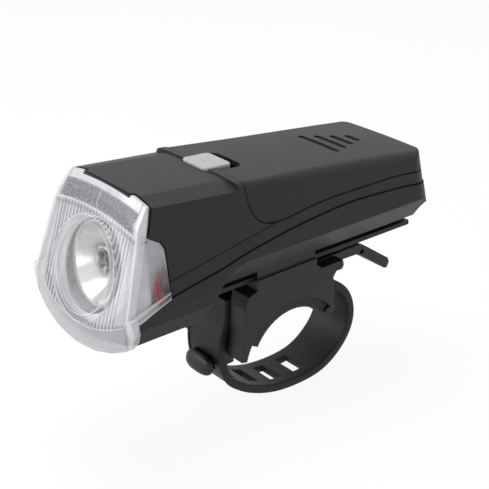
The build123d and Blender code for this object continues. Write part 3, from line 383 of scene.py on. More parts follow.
def cap_zones(x, y, z):
    """Masks of the cap's zones, from the place with x counted outwards: each is nought or one, or fades at its
    edge."""
    depth = (y - z * FACE_LEAN - FACE_Y0) * (1.0 / FACE_SQUARE)
    rise = (z - RING_Z) * FACE_SQUARE
    reach = (x * x + rise * rise).root()
    face, walls, skin = depth.below(FACE_DEPTH), depth.above(FACE_DEPTH), depth.below(SKIN_DEPTH)
    inset, line = RING_LINE
    window = walls * depth.rise(*WINDOW_DEPTHS) * z.rise(*WINDOW_FOOT)
    over_chin = z - x * x * CHIN_LINE_BEND - CHIN_LINE_Z
    over_ledge = z - y * LEDGE_SLOPE - LEDGE_TOP_Z
    ledge = over_ledge.between(*LEDGE_SPAN) * walls * x.above(LEDGE_X)
    past_edge = x - (z * FACE_FLARE + FACE_HALF)
    over_arch = z + x * x * (0.5 / ARCH_R) - ARCH_Z
    crown = over_arch.rise(*CROWN_RISE)
    band = crown * (1.0 - y.rise(*CROWN_RIM_YS)) * x.below(BAND_HALF)
    return {
        "walls": walls,
        "under": depth.between(UNDER_DEPTH, FACE_DEPTH),
        "disc": reach.below(RING_IN_R) * face,
        "ring": reach.between(RING_IN_R, RING_OUT_R) * face,
        "rims": reach.near(RING_IN_R + inset, line).most(reach.near(RING_OUT_R - inset, line)) * skin,
        "stripe": abs((x * (math.pi / FLUTE_PITCH)).sine()).rise(*FLUTE_RISE),
        "field": skin * reach.above(RING_OUT_R) * x.below(FLUTE_HALF) * z.between(*FLUTE_ZS),
        "window": window,
        "glow": window * y.near(*GLOW_Y) * z.near(*GLOW_Z),
        "dusk": window * y.rise(*DUSK_YS) * z.near(*DUSK_Z),
        "chin": (z.below(CHIN_WALL_Z) * walls + over_chin.below(0.0) * face).clip(),
        "chin_line": over_chin.near(*CHIN_LINE) * skin * x.below(CHIN_LINE_HALF),
        "ledge": ledge,
        "ledge_lines": ledge * over_ledge.near(*LEDGE_TOP_LINE).most(over_ledge.near(*LEDGE_FOOT_LINE)),
        "edge": face * past_edge.rise(*FACE_EDGE_RISE),
        "inner_edge": face * past_edge.near(*FACE_INNER_LINE) * reach.above(RING_OUT_R),
        "crown": crown,
        "arch": over_arch.near(*ARCH_LINE) * depth.below(ARCH_DEPTH),
        "under_arch": over_arch.near(*UNDER_ARCH_LINE) * depth.below(ARCH_DEPTH),
        "band": band,
        "mark": band * x.near(*MARK_LINE),
    }


def cap_plastic():
    """Clear moulded plastic, drawn as a thin milky skin: clearest over the bulb, denser on walls, rims and edges."""
    finish = Finish("cap_clear", IOR=CLEAR_IOR, Specular_IOR_Level=0.5)
    x, y, z = finish.spots()
    grain = finish.noise(*FROST).rise(*FROST_RISE)
    cloud = finish.noise(*CLEAR_CLOUD).rise(*CLOUD_RISE)
    zones = cap_zones(abs(x), y, z)
    stripe, field, band, window = (zones[name] for name in ("stripe", "field", "band", "window"))

    by_height, by_grain, least = MILK_WINDOW
    milk = stripe.to(*MILK_FLUTE) * field + (1.0 - field) * MILK_PLAIN
    milk = zones["disc"].to(milk, MILK_DISC)
    milk = zones["ring"].to(milk, MILK_RING)
    milk = milk * zones["under"].to(1.0, MILK_UNDER)
    milk = zones["walls"].to(milk, MILK_WALLS)
    milk = window.to(milk, z.rise(*WINDOW_MILK_ZS) * by_height + grain * by_grain + least)
    milk = milk.most(zones["glow"] * MILK_GLOW).most(zones["dusk"] * MILK_DUSK)
    milk = zones["ledge"].to(milk, MILK_LEDGE)
    for name, share in MILK_LEAST.items():
        milk = milk.most(zones[name] * share)
    finish.set("Alpha", (milk * cloud.to(*MILK_CLOUD)).clip())

    # Painted highlights along the edge, rims, arch, chin line and ledge lines, with the band's mark, all drawn in
    # CLEAR_LIGHT
    lines = zones["edge"] * cloud.to(*LIGHT_EDGE)
    for name, share in LIGHT_LINES.items():
        lines = lines.most(zones[name] * share)
    # Painted light and shade in stripes across the flutes: CLEAR_WHITE where the stripe is nought, CLEAR_SHADE where
    # it is one
    tone = finish.mix((stripe * field).clip(), CLEAR_WHITE, CLEAR_SHADE)
    for mask, colour in (
        # the dusk: painted shade of the lamp's dark inside, with its black housing, on the window's rear
        (zones["dusk"], WINDOW_DARK),
        (zones["glow"] * GLOW_TINT, WINDOW_RED),
        (zones["chin"], CHIN_GREY),
        # painted shade along the face's inner edge and under the arch
        (zones["inner_edge"].most(zones["under_arch"]), CLEAR_SHADE),
        (band * grain.to(1.0, BAND_FROST), BAND_GREY),
        (lines, CLEAR_LIGHT),
    ):
        tone = finish.mix(mask.clip(), tone, colour)
    frosted = (band + window).clip()
    finish.set("Base Color", tone)
    finish.set("Roughness", (grain.to(*FROST_ROUGHNESS) * frosted + CAP_ROUGHNESS).clip())
    finish.set("Normal", finish.bump(grain * frosted, FROST_DEPTH))
    return finish


def paint(finish, *nodes):
    """Gives each node this finish in place of its own."""
    for node in nodes:
        materials = NODES[node].data.materials
        materials.clear()
        materials.append(finish.material)


# Bulb behind the cap: bowl, clear tube and core lie about one axis at this height
BOWL_Z = -2.2
BOWL_R = 13.2
BOWL_EDGE = 0.2
BOWL_MIDDLE = (3.9, 7.0)
BOWL_RAYS = 22.0
BOWL_RAY_SHARE = 0.3
BOWL_TONES = ((0.74, 0.74, 0.75, 1.0), (0.90, 0.90, 0.89, 1.0))
BOWL_DARK = (0.16, 0.16, 0.17, 1.0)
BOWL_EDGE_TONE = (0.80, 0.80, 0.81, 1.0)
BOWL_GRAIN = (0.6, 3.0, 0.6)
BOWL_ROUGHNESS = (0.2, 0.3)
BOWL_DEPTH = 0.01
TUBE_FRONT_R = 12.8
TUBE_REAR_R = 12.2
TUBE_REAR_Y = -37.4
TUBE_REAR_LEAN = 0.16
TUBE_WALL = 0.5
TUBE_START = 2.0
TUBE_STEPS = 12
TUBE_TURNS = 96
TUBE_GRAIN = (0.4, 3.0, 0.6)
TUBE_LIP = (-0.9, -0.5)
TUBE_MILK = (0.34, 0.5)
TUBE_LIP_MILK = 0.7
TUBE_ROUGHNESS = (0.15, 0.25)
TUBE_TONES = ((0.52, 0.52, 0.54, 1.0), (0.80, 0.80, 0.80, 1.0))


def mirror_bowl():
    """Metallised plastic: bright bowl, darker towards the bulb, with faint rays that run out from its axis."""
    finish = Finish("reflector_metallised", Metallic=0.8)
    x, _, z = finish.spots()
    up = z - BOWL_Z
    reach = (x * x + up * up).root()
    rays = (up.math("ARCTAN2", x) * BOWL_RAYS).sine() * 0.5 + 0.5
    grain = finish.noise(*BOWL_GRAIN)
    cloud = finish.noise(*FLECKS).rise(*CLOUD_RISE)
    tone = finish.mix((cloud * (1.0 - BOWL_RAY_SHARE) + rays * BOWL_RAY_SHARE).clip(), *BOWL_TONES)
    tone = finish.mix(reach.rise(*BOWL_MIDDLE), BOWL_DARK, tone)
    tone = finish.mix(reach.above(BOWL_R + BOWL_EDGE), tone, BOWL_EDGE_TONE)
    finish.set("Base Color", tone)
    finish.set("Roughness", grain.to(*BOWL_ROUGHNESS).clip())
    finish.set("Normal", finish.bump(grain, BOWL_DEPTH))
    return finish


def tube_plastic():
    """Clear tube between the face's ring and the bowl, with a bright moulded rim at its rear end."""
    finish = Finish("tube_clear", IOR=CLEAR_IOR, Specular_IOR_Level=0.5)
    _, y, z = finish.spots()
    grain = finish.noise(*TUBE_GRAIN)
    cloud = finish.noise(*FLECKS).rise(*CLOUD_RISE)
    rear = (y - (z - BOWL_Z) * TUBE_REAR_LEAN - TUBE_REAR_Y).rise(*TUBE_LIP)
    finish.set("Alpha", rear.to(cloud.to(*TUBE_MILK), TUBE_LIP_MILK))
    finish.set("Base Color", finish.mix(rear, *TUBE_TONES))
    finish.set("Roughness", grain.to(*TUBE_ROUGHNESS).clip())
    return finish


def turns(count):
    """Angles of a full turn, without the last, which is the first again."""
    return np.linspace(0.0, 2.0 * np.pi, count, endpoint=False)


def tube_grid():
    """Closed wall of a leaning-ended cone: the radius falls evenly from the front to the rear edge, the front edge
    lies along the face's plane and the rear edge in its own leaning plane, and the wall's section is a loop of its
    outer line and its inner line."""
    along = np.linspace(0.0, 1.0, TUBE_STEPS)
    share = np.concatenate([along, along[::-1], along[:1]])
    wall = np.concatenate([np.zeros(TUBE_STEPS), np.full(TUBE_STEPS, TUBE_WALL), [0.0]])
    share, turn = np.meshgrid(share, turns(TUBE_TURNS), indexing="ij")
    radius = TUBE_FRONT_R + (TUBE_REAR_R - TUBE_FRONT_R) * share - wall[:, None]
    z = RING_Z + radius * np.cos(turn)
    front = FACE_Y0 + FACE_LEAN * z + TUBE_START * FACE_SQUARE
    rear = TUBE_REAR_Y + TUBE_REAR_LEAN * (z - BOWL_Z)
    return radius * np.sin(turn), front + (rear - front) * share, z


LINER_RIM = (TUBE_REAR_Y, TUBE_REAR_R)
LINER_FOOT = (-25.1, 4.5)
LINER_WALL = 0.4
LINER_STEPS = 14


def liner_grid():
    """Bright bowl with a rounded rim: radius squared falls evenly from the rim's to the foot's, which is a
    paraboloid, its section is closed by the same line one wall further out, and both turn about the bulb's axis.
    Every place leans by its height, less and less towards the foot, so that the rim's plane leans."""
    (rim_y, rim_r), (foot_y, foot_r) = LINER_RIM, LINER_FOOT
    share = np.linspace(0.0, 1.0, LINER_STEPS)
    y = rim_y + (foot_y - rim_y) * share
    radius = np.sqrt(rim_r ** 2 + (foot_r ** 2 - rim_r ** 2) * share)
    nose_y, nose_r = rim_y - LINER_WALL / 2.0, rim_r + LINER_WALL / 2.0
    along = np.concatenate([[nose_y], y, y[::-1], [nose_y]])
    out = np.concatenate([[nose_r], radius, radius[::-1] + LINER_WALL, [nose_r]])
    turn = turns(TUBE_TURNS)
    up = np.outer(out, np.cos(turn))
    lean = TUBE_REAR_LEAN * (foot_y - along) / (foot_y - rim_y)
    return np.outer(out, np.sin(turn)), along[:, None] + lean[:, None] * up, BOWL_Z + up


# Radius and place of each point of the core's section
NOSE_PROFILE = (
    (3.4, -25.0), (4.2, -30.0), (4.9, -33.9), (4.9, -34.4), (4.7, -34.75), (4.3, -34.9), (3.6, -34.7), (2.7, -34.0),
    (1.6, -33.6), (0.0, -33.5),
)
NOSE_TURNS = 64
NOSE_FLECKS = (1.6, 2.0, 0.5)
NOSE_FLECK_RISE = (0.42, 0.62)
NOSE_LIP = (4.3, 0.6)
NOSE_LIP_Y = -34.0
NOSE_DISH_R = 3.3
NOSE_DISH_Y = -33.0
NOSE_MILK = (0.55, 0.92)
NOSE_DISH_SHARE = (1.0, 0.6)
NOSE_LIP_SHARE = (0.3, 1.0)
NOSE_ROUGHNESS = (0.08, 0.18)
NOSE_TONES = ((0.20, 0.20, 0.21, 1.0), (0.55, 0.55, 0.56, 1.0))
NOSE_DARK = (0.045, 0.045, 0.05, 1.0)
# Painted highlight on the core's lip
NOSE_HIGHLIGHT = (0.85, 0.85, 0.85, 1.0)


def nose_grid():
    """Clear core over the bulb: a closed section with a dished front, turned about the bulb's axis."""
    section = np.array(NOSE_PROFILE + ((0.0, NOSE_PROFILE[0][1]), NOSE_PROFILE[0]))
    turn = turns(NOSE_TURNS)
    x, z = np.outer(section[:, 0], np.sin(turn)), BOWL_Z + np.outer(section[:, 0], np.cos(turn))
    return x, np.outer(section[:, 1], np.ones(NOSE_TURNS)), z


def nose_plastic():
    """Clear core: dark in its dish, and bright on the dish's lip, where a highlight is painted."""
    finish = Finish("core_clear", IOR=CLEAR_IOR, Specular_IOR_Level=0.6)
    x, y, z = finish.spots()
    up = z - BOWL_Z
    reach = (x * x + up * up).root()
    cloud = finish.noise(*NOSE_FLECKS).rise(*NOSE_FLECK_RISE)
    lip = reach.near(*NOSE_LIP) * y.below(NOSE_LIP_Y)
    dish = reach.below(NOSE_DISH_R) * y.below(NOSE_DISH_Y)
    tone = finish.mix(cloud, *NOSE_TONES)
    tone = finish.mix(dish * cloud.to(*NOSE_DISH_SHARE), tone, NOSE_DARK)
    # Painted highlight on the dish's lip
    tone = finish.mix((lip * cloud.to(*NOSE_LIP_SHARE)).clip(), tone, NOSE_HIGHLIGHT)
    finish.set("Base Color", tone)
    finish.set("Alpha", lip.most(dish).to(*NOSE_MILK))
    finish.set("Roughness", cloud.to(*NOSE_ROUGHNESS).clip())
    return finish


# Hook's head: middle in side view, half sizes, and the power that squares it. The plain head is cut off in front of
# the cut's y and below its z
HOOK_SPOT = (-1.95, -47.7)
HOOK_HALVES = (6.4, 1.75, 3.3)
HOOK_TILT = math.radians(12.0)
HOOK_POWER = 2.6
HOOK_RINGS = 24
HOOK_TURNS = 64
HOOK_CUT_Y = -1.3
HOOK_CUT_Z = -40.0
BASE_MERGE = 0.000005
GRID_MERGE = 0.00001


def hook_grid():
    """Oval button on the hook: a superellipsoid, in which each sine and cosine keeps its sign and is raised to two
    over the power, tilted about the bar's direction so that its foot stands forward."""
    rise, turn = np.meshgrid(np.linspace(-np.pi / 2.0, np.pi / 2.0, HOOK_RINGS), turns(HOOK_TURNS), indexing="ij")
    bent = [np.sign(wave) * np.abs(wave) ** (2.0 / HOOK_POWER)
            for wave in (np.cos(rise), np.sin(rise), np.cos(turn), np.sin(turn))]
    half_x, half_y, half_z = HOOK_HALVES
    x, y, z = bent[0] * bent[2] * half_x, bent[1] * half_y, bent[0] * bent[3] * half_z
    cos, sin = math.cos(HOOK_TILT), math.sin(HOOK_TILT)
    return x, HOOK_SPOT[0] + y * cos + z * sin, HOOK_SPOT[1] + z * cos - y * sin


def show_mesh(mesh):
    """New object at the origin that shows the mesh, under the mesh's name."""
    piece = bpy.data.objects.new(mesh.name, mesh)
    bpy.context.scene.collection.objects.link(piece)
    return piece


def bracket_copy():
    """Copy of the base's mesh, merged, with its plain hook head cut off where the rounded one takes its place."""
    mesh = NODES["bracket_base"].data.copy()
    mesh.name = "bracket_body"
    body = bmesh.new()
    body.from_mesh(mesh)
    bmesh.ops.remove_doubles(body, verts=body.verts, dist=BASE_MERGE)
    cut, cut_z = Vector((0.0, (HOOK_CUT_Y - LAMP_Y) * MM, 0.0)), (HOOK_CUT_Z - LAMP_Z) * MM
    low = [part for face in body.faces if face.calc_center_median().z < cut_z
           for part in (face, *face.edges, *face.verts)]
    bmesh.ops.bisect_plane(body, geom=list(dict.fromkeys(low)), plane_co=cut, plane_no=(0.0, -1.0, 0.0))
    middles = [(face, face.calc_center_median()) for face in body.faces]
    head = [face for face, middle in middles if middle.y < cut.y and middle.z < cut_z]
    bmesh.ops.delete(body, geom=head, context="FACES")
    open_edges = [edge for edge in body.edges if len(edge.link_faces) == 1]
    bmesh.ops.holes_fill(body, edges=open_edges, sides=0)
    body.to_mesh(mesh)
    body.free()
    return show_mesh(mesh)


def surface_piece(name, finish, x, y, z, closed=True, keep=None):
    """Piece from a grid of points in lamp millimetres, with a face between each four neighbours that keep allows.
    The grid's second direction closes on itself where closed says so."""
    rows, columns = x.shape
    points = np.stack([x, y - LAMP_Y, z - LAMP_Z], axis=-1).reshape(-1, 3) * MM
    index = np.arange(rows * columns).reshape(rows, columns)
    if closed:
        index = np.hstack([index, index[:, :1]])
    faces = np.stack([index[:-1, :-1], index[1:, :-1], index[1:, 1:], index[:-1, 1:]], axis=-1)
    faces = faces[keep] if keep is not None else faces.reshape(-1, 4)
    mesh = bpy.data.meshes.new(name)
    mesh.from_pydata(points.tolist(), [], faces.tolist())
    mesh.materials.append(finish.material)
    shape = bmesh.new()
    shape.from_mesh(mesh)
    bmesh.ops.remove_doubles(shape, verts=shape.verts, dist=GRID_MERGE)
    loose = [corner for corner in shape.verts if not corner.link_faces]
    bmesh.ops.delete(shape, geom=loose, context="VERTS")
    bmesh.ops.recalc_face_normals(shape, faces=shape.faces)
    shape.to_mesh(mesh)
    shape.free()
    mesh.polygons.foreach_set("use_smooth", [True] * len(mesh.polygons))
    return show_mesh(mesh)


# Middle line of the strap in side view, from its eye back, down and forward to its free end behind the hook
STRAP_PATH = (
    (37.6, -28.7), (42.0, -29.9), (47.4, -33.0), (52.2, -36.9), (54.9, -41.3), (55.9, -46.0), (55.3, -50.6),
    (52.9, -55.2), (49.4, -58.8), (43.7, -62.2), (37.0, -63.6), (30.1, -63.7), (23.3, -62.95), (16.6, -61.0),
    (10.3, -58.0), (7.1, -55.8), (4.1, -53.0), (2.3, -49.6), (1.45, -46.4), (1.1, -40.8), (1.6, -36.6),
    (2.9, -32.6), (3.5, -28.9), (3.6, -24.0),
)
PATH_STEPS = 4000
STRAP_HALF = 8.4
STRAP_T = 2.5
STRAP_LINES = (0.27, 0.7, 0.86, 1.0)
STRAP_STEP = 0.6
STRAP_SOFT = 0.4
STRAP_SOFT_SEGMENTS = 3
STRAP_SOFT_ANGLE = math.radians(40.0)
SLOTS = 5
SLOT_HALF_W = 4.4
SLOT_L = 4.4
SLOT_PITCH = 10.35
SLOT_SHIFT = 0.3
HOOKED_Z = -47.25
HOOKED_REACH = 0.4
FRONT_RUN_Y = 6.0
RIM_W = 1.0
RIM_T = 0.42
RIM_SUNK = 0.05
RIM_INSET = 1.0
RIM_TURNS = 12
EYE_SPOT = (36.0, -28.75)
EYE_R = 2.55
EYE_BORE_R = 1.42
EYE_SOFT = 0.3
EYE_TURNS = 48


def smooth_path(points):
    """Natural cubic curve through the points, counted by chord length: a straight-line system gives each point's
    second derivative, and the cubic between two points follows from the four values at its ends."""
    points = np.array(points)
    chord = np.concatenate([[0.0], np.cumsum(np.linalg.norm(np.diff(points, axis=0), axis=1))])
    gap = np.diff(chord)
    count = len(points)
    system, right = np.eye(count), np.zeros((count, 2))
    mid = np.arange(1, count - 1)
    system[mid, mid - 1], system[mid, mid], system[mid, mid + 1] = gap[:-1], 2.0 * (gap[:-1] + gap[1:]), gap[1:]
    slope = np.diff(points, axis=0) / gap[:, None]
    right[1:-1] = 6.0 * np.diff(slope, axis=0)
    bend = np.linalg.solve(system, right)
    place = np.linspace(0.0, chord[-1], PATH_STEPS)
    k = np.clip(np.searchsorted(chord, place, side="right") - 1, 0, count - 2)
    h, a, b = gap[k][:, None], (chord[k + 1] - place)[:, None], (place - chord[k])[:, None]
    curve = (bend[k] * a ** 3 + bend[k + 1] * b ** 3) / (6.0 * h)
    curve = curve + (points[k] / h - bend[k] * h / 6.0) * a + (points[k + 1] / h - bend[k + 1] * h / 6.0) * b
    length = np.concatenate([[0.0], np.cumsum(np.linalg.norm(np.diff(curve, axis=0), axis=1))])
    return curve, length


def path_at(length_wanted):
    """Points and outward normals of the strap's middle line at the wanted lengths along it."""
    curve, length = smooth_path(STRAP_PATH)
    y, z = (np.interp(length_wanted, length, curve[:, axis]) for axis in (0, 1))
    tangent = np.stack([np.interp(length_wanted, length, np.gradient(curve[:, axis], length)) for axis in (0, 1)])
    tangent = tangent / np.linalg.norm(tangent, axis=0)
    return y, z, -tangent[1], tangent[0]


def slot_spans():
    """Start and end of each slot along the strap: the hooked one, and the rest one pitch apart below it."""
    curve, length = smooth_path(STRAP_PATH)
    hooked = (curve[:, 0] < FRONT_RUN_Y) & (np.abs(curve[:, 1] - HOOKED_Z) < HOOKED_REACH)
    middle = length[hooked].mean() + SLOT_SHIFT - SLOT_PITCH * np.arange(SLOTS)
    return middle - SLOT_L / 2.0, middle + SLOT_L / 2.0


def strap_grid():
    """Middle surface of the strap: its path carried straight across its width, less the slots' faces."""
    _, length = smooth_path(STRAP_PATH)
    starts, ends = slot_spans()
    marks = np.unique(np.concatenate([[0.0], starts, ends, [length[-1]]]))
    runs = [np.linspace(a, b, max(2, int((b - a) / STRAP_STEP) + 1)) for a, b in zip(marks, marks[1:])]
    along = np.unique(np.round(np.concatenate(runs), 6))
    lines = np.array(STRAP_LINES) * STRAP_HALF
    across = np.unique(np.concatenate([-lines, [-SLOT_HALF_W, 0.0, SLOT_HALF_W], lines]))
    y, z, _, _ = path_at(along)
    mid_along = (along[:-1] + along[1:]) / 2.0
    mid_across = (across[:-1] + across[1:]) / 2.0
    in_slot = ((mid_along[:, None] > starts) & (mid_along[:, None] < ends)).any(axis=1)
    keep = ~(in_slot[:, None] & (np.abs(mid_across) < SLOT_HALF_W)[None, :])
    ones = np.ones(len(across))
    return np.outer(np.ones(len(along)), across), np.outer(y, ones), np.outer(z, ones), keep


def rim_grid(side):
    """Raised rim along one edge of the strap: a half-sunk ellipse carried along the strap's outer side, which grows
    from a point over the first millimetre and ends in one over the last."""
    _, length = smooth_path(STRAP_PATH)
    along = np.linspace(RIM_INSET, length[-1] - RIM_INSET, int(length[-1] / STRAP_STEP))
    y, z, out_y, out_z = path_at(along)
    turn = turns(RIM_TURNS)
    size = np.minimum(1.0, np.minimum(along - along[0], along[-1] - along))
    lift = STRAP_T / 2.0 - RIM_SUNK + np.outer(size, np.sin(turn)) * RIM_T
    x = side * (STRAP_HALF - RIM_W / 2.0) + np.outer(size, np.cos(turn)) * RIM_W / 2.0
    return x, y[:, None] + out_y[:, None] * lift, z[:, None] + out_z[:, None] * lift


def eye_grid():
    """Eye round the strap's pin: a ring's section, with cut corners, turned about the pin's axis."""
    inner, outer, half, soft = EYE_BORE_R, EYE_R, STRAP_HALF, EYE_SOFT
    radius, x = np.array([
        (inner, -half), (outer - soft, -half), (outer, -half + soft), (outer, half - soft), (outer - soft, half),
        (inner, half), (inner, -half),
    ]).T
    turn = turns(EYE_TURNS)
    y, z = EYE_SPOT[0] + np.outer(radius, np.cos(turn)), EYE_SPOT[1] + np.outer(radius, np.sin(turn))
    return np.outer(x, np.ones(EYE_TURNS)), y, z


# Seams in side view, as y and z: between the housings, along the band, and under the cover. The cover's front edge is
# given as z and y
SEAM_RUNS = (
    ((-44.0, -9.6), (-27.5, -6.7), (-21.0, -5.5), (-9.2, -3.6), (-1.0, -1.7), (7.2, -0.4), (15.7, 0.9),
     (24.4, 1.8), (33.2, 2.55), (42.3, 2.9), (51.6, 2.55), (61.1, 2.1), (73.5, 0.8), (88.0, -1.2)),
    ((-44.0, -5.2), (-26.5, -1.8), (-13.0, 0.4), (-6.5, 1.6), (6.6, 3.6), (11.9, 4.6)),
    ((7.8, 4.9), (11.9, 4.45), (21.2, 5.3), (29.0, 6.0), (37.9, 6.25), (51.6, 6.2), (61.2, 6.0), (73.5, 4.8),
     (88.0, 3.3)),
)
SEAM_SPANS = ((-44.0, 88.0), (-12.0, 12.0))
SEAM_REACH = 0.42
SEAM_INSET = 0.3
SEAM_STOPS = 30
SIDE_X = 18.0
EDGE_RUN = ((17.0, 0.35), (15.0, 0.55), (11.9, 1.26), (9.0, 2.55), (6.4, 4.7), (4.9, 7.8))
EDGE_SPANS = ((0.0, 20.0), (0.0, 10.0))
EDGE_X = 10.5


def traced(finish, run, place, spans):
    """The smooth curve through the run's points, read at the place by a ramp of stops. Spans hold the least and the
    greatest value of the first and of the second number of a point."""
    curve, _ = smooth_path(run)
    if run[0][0] > run[-1][0]:
        curve = curve[::-1]
    at = np.linspace(curve[0, 0], curve[-1, 0], SEAM_STOPS)
    values = np.interp(at, curve[:, 0], curve[:, 1])
    (first, last), (low, high) = spans
    stops = zip(((at - first) / (last - first)).tolist(), ((values - low) / (high - low)).tolist())
    return finish.ramp((place - first) * (1.0 / (last - first)), stops) * (high - low) + low


def seam_shadow(finish):
    """Shade in the long seams of the sides, and in the cover's front edge: near the height that the seam's curve
    has at each place along the lamp, and near the place that the edge's curve has at each height."""
    x, y, z = finish.spots()
    edge = (y - traced(finish, EDGE_RUN, z, EDGE_SPANS)).near(0.0, SEAM_REACH)
    shade = edge * z.above(EDGE_RUN[-1][0]) * abs(x).above(EDGE_X)
    for run in SEAM_RUNS:
        line = (z - traced(finish, run, y, SEAM_SPANS)).near(0.0, SEAM_REACH)
        shade = shade.most(line * y.between(run[0][0] + SEAM_INSET, run[-1][0]) * abs(x).above(SIDE_X))
    return shade


# Marks: each gives its mask, its colour, and its lift in depths of the finish's own bump. The pad ribs' colour is a
# painted highlight on their crests
BUTTON_MID_Y = 1.9
BUTTON_TOP_Z = 18.8
SIGN_R = 1.75
SIGN_W = 0.32
SIGN_GAP = 0.55
SIGN_BAR_HALF = 0.192
SIGN_BAR_YS = (-2.25, -0.1)
SIGN_COLOUR = (0.40, 0.40, 0.40, 1.0)
SIGN_LIFT = 8.0
PAD_R = 15.9
PAD_RIM_R = 16.5
PAD_RIB_PITCH = 1.6
# Painted highlight on the crests of the pad's ribs
PAD_RIB_HIGHLIGHT = (0.06, 0.06, 0.06, 1.0)
PAD_RIB_LIFT = 12.0


def power_sign(finish):
    """Raised ring with a gap and a short bar, as on any power button: near the ring's radius, or near the bar."""
    x, y, z = finish.spots()
    y = y - BUTTON_MID_Y
    ring = (x * x + y * y).root().near(SIGN_R, SIGN_W) * (1.0 - abs(x).below(SIGN_GAP) * y.below(0.0))
    bar = abs(x).below(SIGN_BAR_HALF) * y.between(*SIGN_BAR_YS)
    return ring.most(bar) * z.above(BUTTON_TOP_Z), SIGN_COLOUR, SIGN_LIFT


def pad_ribs(finish):
    """Fine ribs across the saddle: the sine of the angle round the bar's axis, once for each pitch of the ribs, with
    a painted highlight on their crests.
    """
    across, up = finish.axis(1), finish.axis(2)
    inside = ((across * across + up * up).root() * (1.0 / MM)).below(PAD_RIM_R)
    wave = (up.math("ARCTAN2", across) * (2.0 * math.pi * PAD_R / PAD_RIB_PITCH)).sine()
    return (wave * 0.5 + 0.5) * inside, PAD_RIB_HIGHLIGHT, PAD_RIB_LIFT


# Name, maker, colour with the maker's other numbers, and the nodes that wear it
OPTIC_FINISHES = (
    ("led_phosphor", moulded, ((0.30, 0.29, 0.24), 0.2, 0.15, 0.003), ("led_emitter",)),
    ("board_aluminium", metal, ((0.78, 0.79, 0.80), 0.4), ("led_board",)),
    ("sink_aluminium", metal, ((0.55, 0.56, 0.57), 0.45), ("heat_sink",)),
    ("gasket_rubber", moulded, ((0.012, 0.012, 0.012), 0.6, 0.3, 0.01), ("lens_gasket",)),
)
INSIDE_FINISHES = (
    ("wire_red", moulded, ((0.45, 0.015, 0.012), 0.35, 0.2, 0.004), ("lead_wire_red",)),
    ("wire_black", moulded, ((0.015, 0.015, 0.015), 0.35, 0.2, 0.004), ("lead_wire_black",)),
    ("board_mask", moulded, ((0.02, 0.12, 0.05), 0.3, 0.3, 0.004), ("circuit_board",)),
    ("switch_plastic", moulded, ((0.03, 0.03, 0.03), 0.4, 0.2, 0.004), ("tactile_switch",)),
    ("tray_plastic", moulded, ((0.03, 0.03, 0.032), 0.45, 0.3, 0.01), ("battery_tray",)),
    ("cell_sleeve", moulded, ((0.10, 0.10, 0.11), 0.25, 0.4, 0.004),
     ("battery_cell_1", "battery_cell_2", "battery_cell_3")),
    ("spring_wire", metal, ((0.62, 0.62, 0.63), 0.3), ("contact_spring_1", "contact_spring_2", "contact_spring_3")),
    ("contact_sheet", metal, ((0.66, 0.65, 0.62), 0.3),
     ("contact_plate_plus", "contact_plate_front", "contact_plate_rear", "contact_plate_minus")),
    ("screw_steel", metal, ((0.2, 0.2, 0.21), 0.4),
     ("housing_screw_1", "housing_screw_2", "housing_screw_3", "housing_screw_4")),
)


def paint_all(finishes):
    """Makes each finish of a table and gives it to its nodes."""
    for name, maker, numbers, nodes in finishes:
        paint(maker(name, *numbers), *nodes)


class HeadlightColours(PropertyGroup):
    housing: FloatVectorProperty(
        name="Housing", description="Colour of the moulded housings", subtype="COLOR",
        size=3, min=0.0, max=1.0, default=(0.016, 0.0155, 0.0175),
    )
    bracket: FloatVectorProperty(
        name="Bracket", description="Colour of the bracket, lever and strap", subtype="COLOR",
        size=3, min=0.0, max=1.0, default=(0.010, 0.010, 0.011),
    )
    button: FloatVectorProperty(
        name="Button", description="Colour of the silicone button", subtype="COLOR",
        size=3, min=0.0, max=1.0, default=(0.43, 0.425, 0.41),
    )


class HeadlightStage(PropertyGroup):
    lens: FloatProperty(name="Lens", description="Focal length of the camera in millimetres", default=88.9, min=1.0)
    distance: FloatProperty(
        name="Distance", description="Distance from the camera to its target", default=0.348, unit="LENGTH", min=0.01,
    )


class HEADLIGHT_OT_housings(Operator):
    """Gives the housings, the cover and the button their moulded finishes"""

    bl_idname = "headlight.housings"
    bl_label = "Housings"

    def execute(self, context):
        colours = context.scene.headlight_colours
        shell = moulded(
            "housing_plastic", colours.housing, rough=0.5, grain=0.28, depth=0.02, specular=0.24, edge=0.3,
            shade=seam_shadow,
        )
        paint(shell, "upper_housing", "lower_housing", "battery_cover")
        button = moulded(
            "button_silicone", colours.button, rough=0.6, grain=0.18, depth=0.006, spread=0.04, specular=0.3,
            edge=0.25, marks=power_sign,
        )
        paint(button, "push_button")
        return {"FINISHED"}


class HEADLIGHT_OT_optics(Operator):
    """Gives the clear cap, the reflector and the light source their finishes, and adds the bulb's clear pieces"""

    bl_idname = "headlight.optics"
    bl_label = "Optics"

    def execute(self, context):
        mirror = mirror_bowl()
        paint(cap_plastic(), "front_lens")
        paint(mirror, "reflector")
        paint_all(OPTIC_FINISHES)
        tube = surface_piece("bulb_tube", tube_plastic(), *tube_grid())
        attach(tube, "lamp")
        liner = surface_piece("bowl_rim", mirror, *liner_grid())
        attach(liner, "lamp")
        nose = surface_piece("bulb_core", nose_plastic(), *nose_grid())
        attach(nose, "lamp")
        return {"FINISHED"}


class HEADLIGHT_OT_inside(Operator):
    """Gives the pieces inside the housings their finishes"""

    bl_idname = "headlight.inside"
    bl_label = "Inside pieces"

    def execute(self, context):
        paint_all(INSIDE_FINISHES)
        return {"FINISHED"}


def soft_strap(band):
    """Thickens the strap's middle surface evenly to both sides, and rounds its edges."""
    wall = band.modifiers.new("wall", "SOLIDIFY")
    wall.thickness = STRAP_T * MM
    wall.offset = 0.0
    wall.use_even_offset = True
    soft = band.modifiers.new("soft_edges", "BEVEL")
    soft.width = STRAP_SOFT * MM
    soft.segments = STRAP_SOFT_SEGMENTS
    soft.limit_method = "ANGLE"
    soft.angle_limit = STRAP_SOFT_ANGLE


